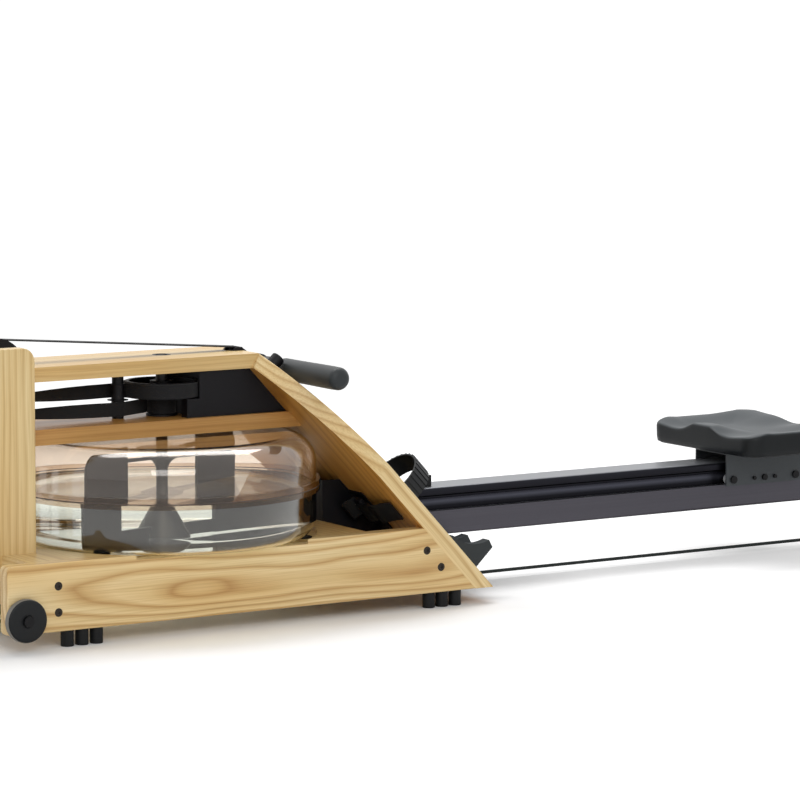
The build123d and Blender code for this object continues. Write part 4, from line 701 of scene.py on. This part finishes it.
# The side goes down to the underside and draws in a little.
for height, draw in ((0.012, 0.0005), (0.003, 0.0015), (0.0, 0.006)):
    row, rim = grown(seat, rim)
    for vert in row:
        vert.co.xy *= 1 - draw / half_width
        vert.co.z = height
bmesh.ops.contextual_create(seat, geom=rim)
bmesh.ops.recalc_face_normals(seat, faces=seat.faces)
moved(seat, (pad_middle.x, 0, pad_low.z))
seat_piece = piece("moulded_seat_pad", seat, seat_foam, "seat", ("seat_pad",), 60)

# ------------------------------------------------------------------ foot straps
deck_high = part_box("top_deck")[1]
board_top = Vector((deck_high.x, 0, deck_high.z))
down = Vector((math.cos(board_slope), 0, -math.sin(board_slope)))
out = Vector((math.sin(board_slope), 0, math.cos(board_slope)))
board_thickness = 0.028
strap_spacing = 0.108  # from the machine's middle to each strap's
strap_along = 0.350  # down the board
strap_width = 0.038
strap_thickness = 0.0026
strap_radius = 0.0519
strap_centre_off = 0.0245
strap_foot_off = 0.006  # where the arch ends over the board
half_turn = math.pi - math.acos((strap_centre_off - strap_foot_off) / strap_radius)
rib_height = 0.0014
rib_angle = 0.098  # ribs and the gaps between them are this wide
rib_margin = 0.003  # from a rib's end to the strap's edge


def on_tread(along, across, off):
    """A point along the footboard, across it and off its upper face."""
    return board_top + down * along + Vector((0, across, 0)) + out * off


def over_foot(x, y, side):
    """The arch over the foot, with x round it and y over its width."""
    angle = x * half_turn
    across = side * strap_spacing + strap_radius * math.sin(angle)
    off = strap_centre_off + strap_radius * math.cos(angle)
    return on_tread(strap_along + y * strap_width / 2, across, off)


def under_board(x, y, side):
    """The slack loop under the board, with x across the board."""
    across = side * strap_spacing + x * 0.061
    fall = 0.004 + 0.012 * (1 - x**4) + 0.003 * math.sin(7 * x + 2 * side)
    along = strap_along + y * 0.021 + 0.004 * math.sin(3 * x)
    return on_tread(along, across, -board_thickness - fall)


def loose_end(x, y, side):
    """The tightened end, which hangs free from the buckle."""
    share = (x + 1) / 2
    across = side * (0.070 - 0.020 * share)
    place = on_tread(strap_along - 0.01 + y * 0.019, across, -board_thickness)
    drop = (0.012 + 0.070 * share) * math.cos(0.9 * share)
    return place - out * drop + Vector((0.05 * share * share, 0, 0)) - down * 0.02 * share


for side, name in ((-1, "left"), (1, "right")):
    ribbon = strip(58, 6, strap_thickness, over_foot, side)
    centre = on_tread(strap_along, side * strap_spacing, strap_centre_off)
    ribs = []
    for face in ribbon.faces:
        middle = face.calc_center_median() - centre
        flat = middle - down * middle.dot(down)
        outside = face.normal.dot(flat.normalized()) > 0.9
        if outside and abs(middle.dot(down)) < strap_width / 2 - rib_margin:
            angle = math.atan2(flat.y, flat.dot(out))
            if int((angle + math.pi) / rib_angle) % 2 == 0:
                ribs.append(face)
    raised = bmesh.ops.extrude_face_region(ribbon, geom=ribs)
    for item in raised["geom"]:
        if isinstance(item, bmesh.types.BMVert):
            radial = item.co - centre
            radial -= down * radial.dot(down)
            item.co += radial.normalized() * rib_height
    bmesh.ops.delete(ribbon, geom=ribs, context="FACES")
    bmesh.ops.recalc_face_normals(ribbon, faces=ribbon.faces)
    node = f"foot_strap_{name}"
    piece(f"ribbed_foot_strap_{name}", ribbon, ribbed_rubber, "frame", (node,), 30)

buckle_size = (0.050, 0.030, 0.010)
buckle_drop = 0.013  # under the board, to the buckle's middle
tilt = Matrix((down, (0, 1, 0), out)).transposed().to_4x4()
for side, name in ((-1, "left"), (1, "right")):
    loop = strip(40, 6, 0.003, under_board, side)
    piece(f"strap_under_board_{name}", loop, ribbed_rubber, "frame", (), 30)
    end = strip(24, 6, strap_thickness, loose_end, side)
    piece(f"strap_end_{name}", end, ribbed_rubber, "frame", (), 30)
    buckle = bmesh.new()
    bmesh.ops.create_cube(buckle, size=1.0)
    bmesh.ops.scale(buckle, vec=buckle_size, verts=buckle.verts)
    bmesh.ops.bevel(
        buckle, geom=buckle.edges[:], offset=0.002, segments=3, affect="EDGES", profile=0.5, material=-1
    )
    moved(buckle, on_tread(strap_along, side * 0.076, -board_thickness - buckle_drop), tilt)
    piece(f"strap_buckle_{name}", buckle, abs_black, "frame", (), 30)

# ------------------------------------------------------------------ strap end between roller and handle
tail_low, tail_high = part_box("strap_tail")
tail_start = Vector((tail_low.x, 0, tail_high.z - millimetre))
tail_end = Vector((tail_high.x, 0, tail_low.z + millimetre))


def along_tail(x, y):
    """The straight strap, with x along it."""
    place = tail_start.lerp(tail_end, (x + 1) / 2)
    return Vector((place.x, y * 0.012, place.z))


tail = strip(24, 2, 0.002, along_tail, turn_first=False)
tail_piece = piece("handle_strap", tail, webbing, None, ("strap_tail",), 30)
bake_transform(tail_piece)

# ------------------------------------------------------------------ studio
white = hue("#FFFFFF")
frame_centre = -0.62  # the timber frame's middle, along X
frame_reach = 0.24  # its half length less its half width
glow_start, glow_full = 0.26, 0.60  # metres sideways from the frame's middle line
far_start, far_full = 1.0, 6.0
glow_strength = 0.30  # that each of the two reaches

floor_finish = start_finish("studio_floor")
floor_paint = put(floor_finish, "ShaderNodeBsdfDiffuse", {"Color": hue("#F4F4F4")})[0]
# The glow grows away from the timber frame, so that its shadow stays and the far floor is white.
places = put(floor_finish, "ShaderNodeTexCoord")["Object"]
across_floor = put(floor_finish, "ShaderNodeSeparateXYZ", {0: places})
beside = put(floor_finish, "ShaderNodeMath", {0: across_floor["Y"]}, operation="ABSOLUTE")[0]
feeds = {0: across_floor["X"], 1: frame_centre}
beyond = put(floor_finish, "ShaderNodeMath", feeds, operation="SUBTRACT")[0]
beyond = put(floor_finish, "ShaderNodeMath", {0: beyond}, operation="ABSOLUTE")[0]
beyond = put(floor_finish, "ShaderNodeMath", {0: beyond, 1: frame_reach}, operation="SUBTRACT")[0]
distance = put(floor_finish, "ShaderNodeMath", {0: beside, 1: beyond}, operation="MAXIMUM")[0]
feeds = {"Value": distance, "From Min": glow_start, "From Max": glow_full, "To Max": glow_strength}
near_glow = put(floor_finish, "ShaderNodeMapRange", feeds)[0]
feeds = {"Value": distance, "From Min": far_start, "From Max": far_full, "To Max": glow_strength}
far_glow = put(floor_finish, "ShaderNodeMapRange", feeds)[0]
whole_glow = put(floor_finish, "ShaderNodeMath", {0: near_glow, 1: far_glow}, operation="ADD")[0]
floor_path = put(floor_finish, "ShaderNodeLightPath")
feeds = {0: floor_path["Is Camera Ray"], 1: floor_path["Is Transmission Ray"]}
shown = put(floor_finish, "ShaderNodeMath", feeds, operation="MAXIMUM")[0]
glow_share = put(floor_finish, "ShaderNodeMath", {0: shown, 1: whole_glow}, operation="MULTIPLY")[0]
glow = put(floor_finish, "ShaderNodeEmission", {"Color": white, "Strength": glow_share})[0]
close_finish(floor_finish, put(floor_finish, "ShaderNodeAddShader", {0: floor_paint, 1: glow})[0])

floor_shape = bmesh.new()
bmesh.ops.create_grid(floor_shape, x_segments=1, y_segments=1, size=60.0)
floor_mesh = bpy.data.meshes.new("studio_floor")
floor_shape.to_mesh(floor_mesh)
floor_shape.free()
floor_mesh.materials.append(floor_finish)
floor = bpy.data.objects.new("studio_floor", floor_mesh)
bpy.context.scene.collection.objects.link(floor)

world = bpy.data.worlds.new("studio_world")
bpy.context.scene.world = world
world.use_nodes = True
world.node_tree.nodes.clear()
sky_path = put(world, "ShaderNodeLightPath")
shown = sky_path["Is Camera Ray"]
for kind in ("Is Transmission Ray", "Is Glossy Ray"):
    shown = put(world, "ShaderNodeMath", {0: shown, 1: sky_path[kind]}, operation="MAXIMUM")[0]
sky_strength = put(world, "ShaderNodeMapRange", {"Value": shown, "To Min": 0.55, "To Max": 1.0})[0]
sky = put(world, "ShaderNodeBackground", {"Color": white, "Strength": sky_strength})[0]
put(world, "ShaderNodeOutputWorld", {"Surface": sky})


def softbox(name, place, aim, size, power):
    """A rectangular studio lamp at place that shines at aim."""
    lamp = bpy.data.lights.new(name, "AREA")
    lamp.shape = "RECTANGLE"
    lamp.size, lamp.size_y = size
    lamp.energy = power
    holder = bpy.data.objects.new(name, lamp)
    bpy.context.scene.collection.objects.link(holder)
    holder.matrix_world = looking(place, Vector(aim) - Vector(place))


softbox("overhead_softbox", (0.1, 0.9, 2.9), (-0.1, 0, 0.2), (3.0, 1.2), 57)
softbox("front_softbox", (-1.9, -3.4, 2.2), (-0.3, 0, 0.2), (2.2, 1.6), 38)
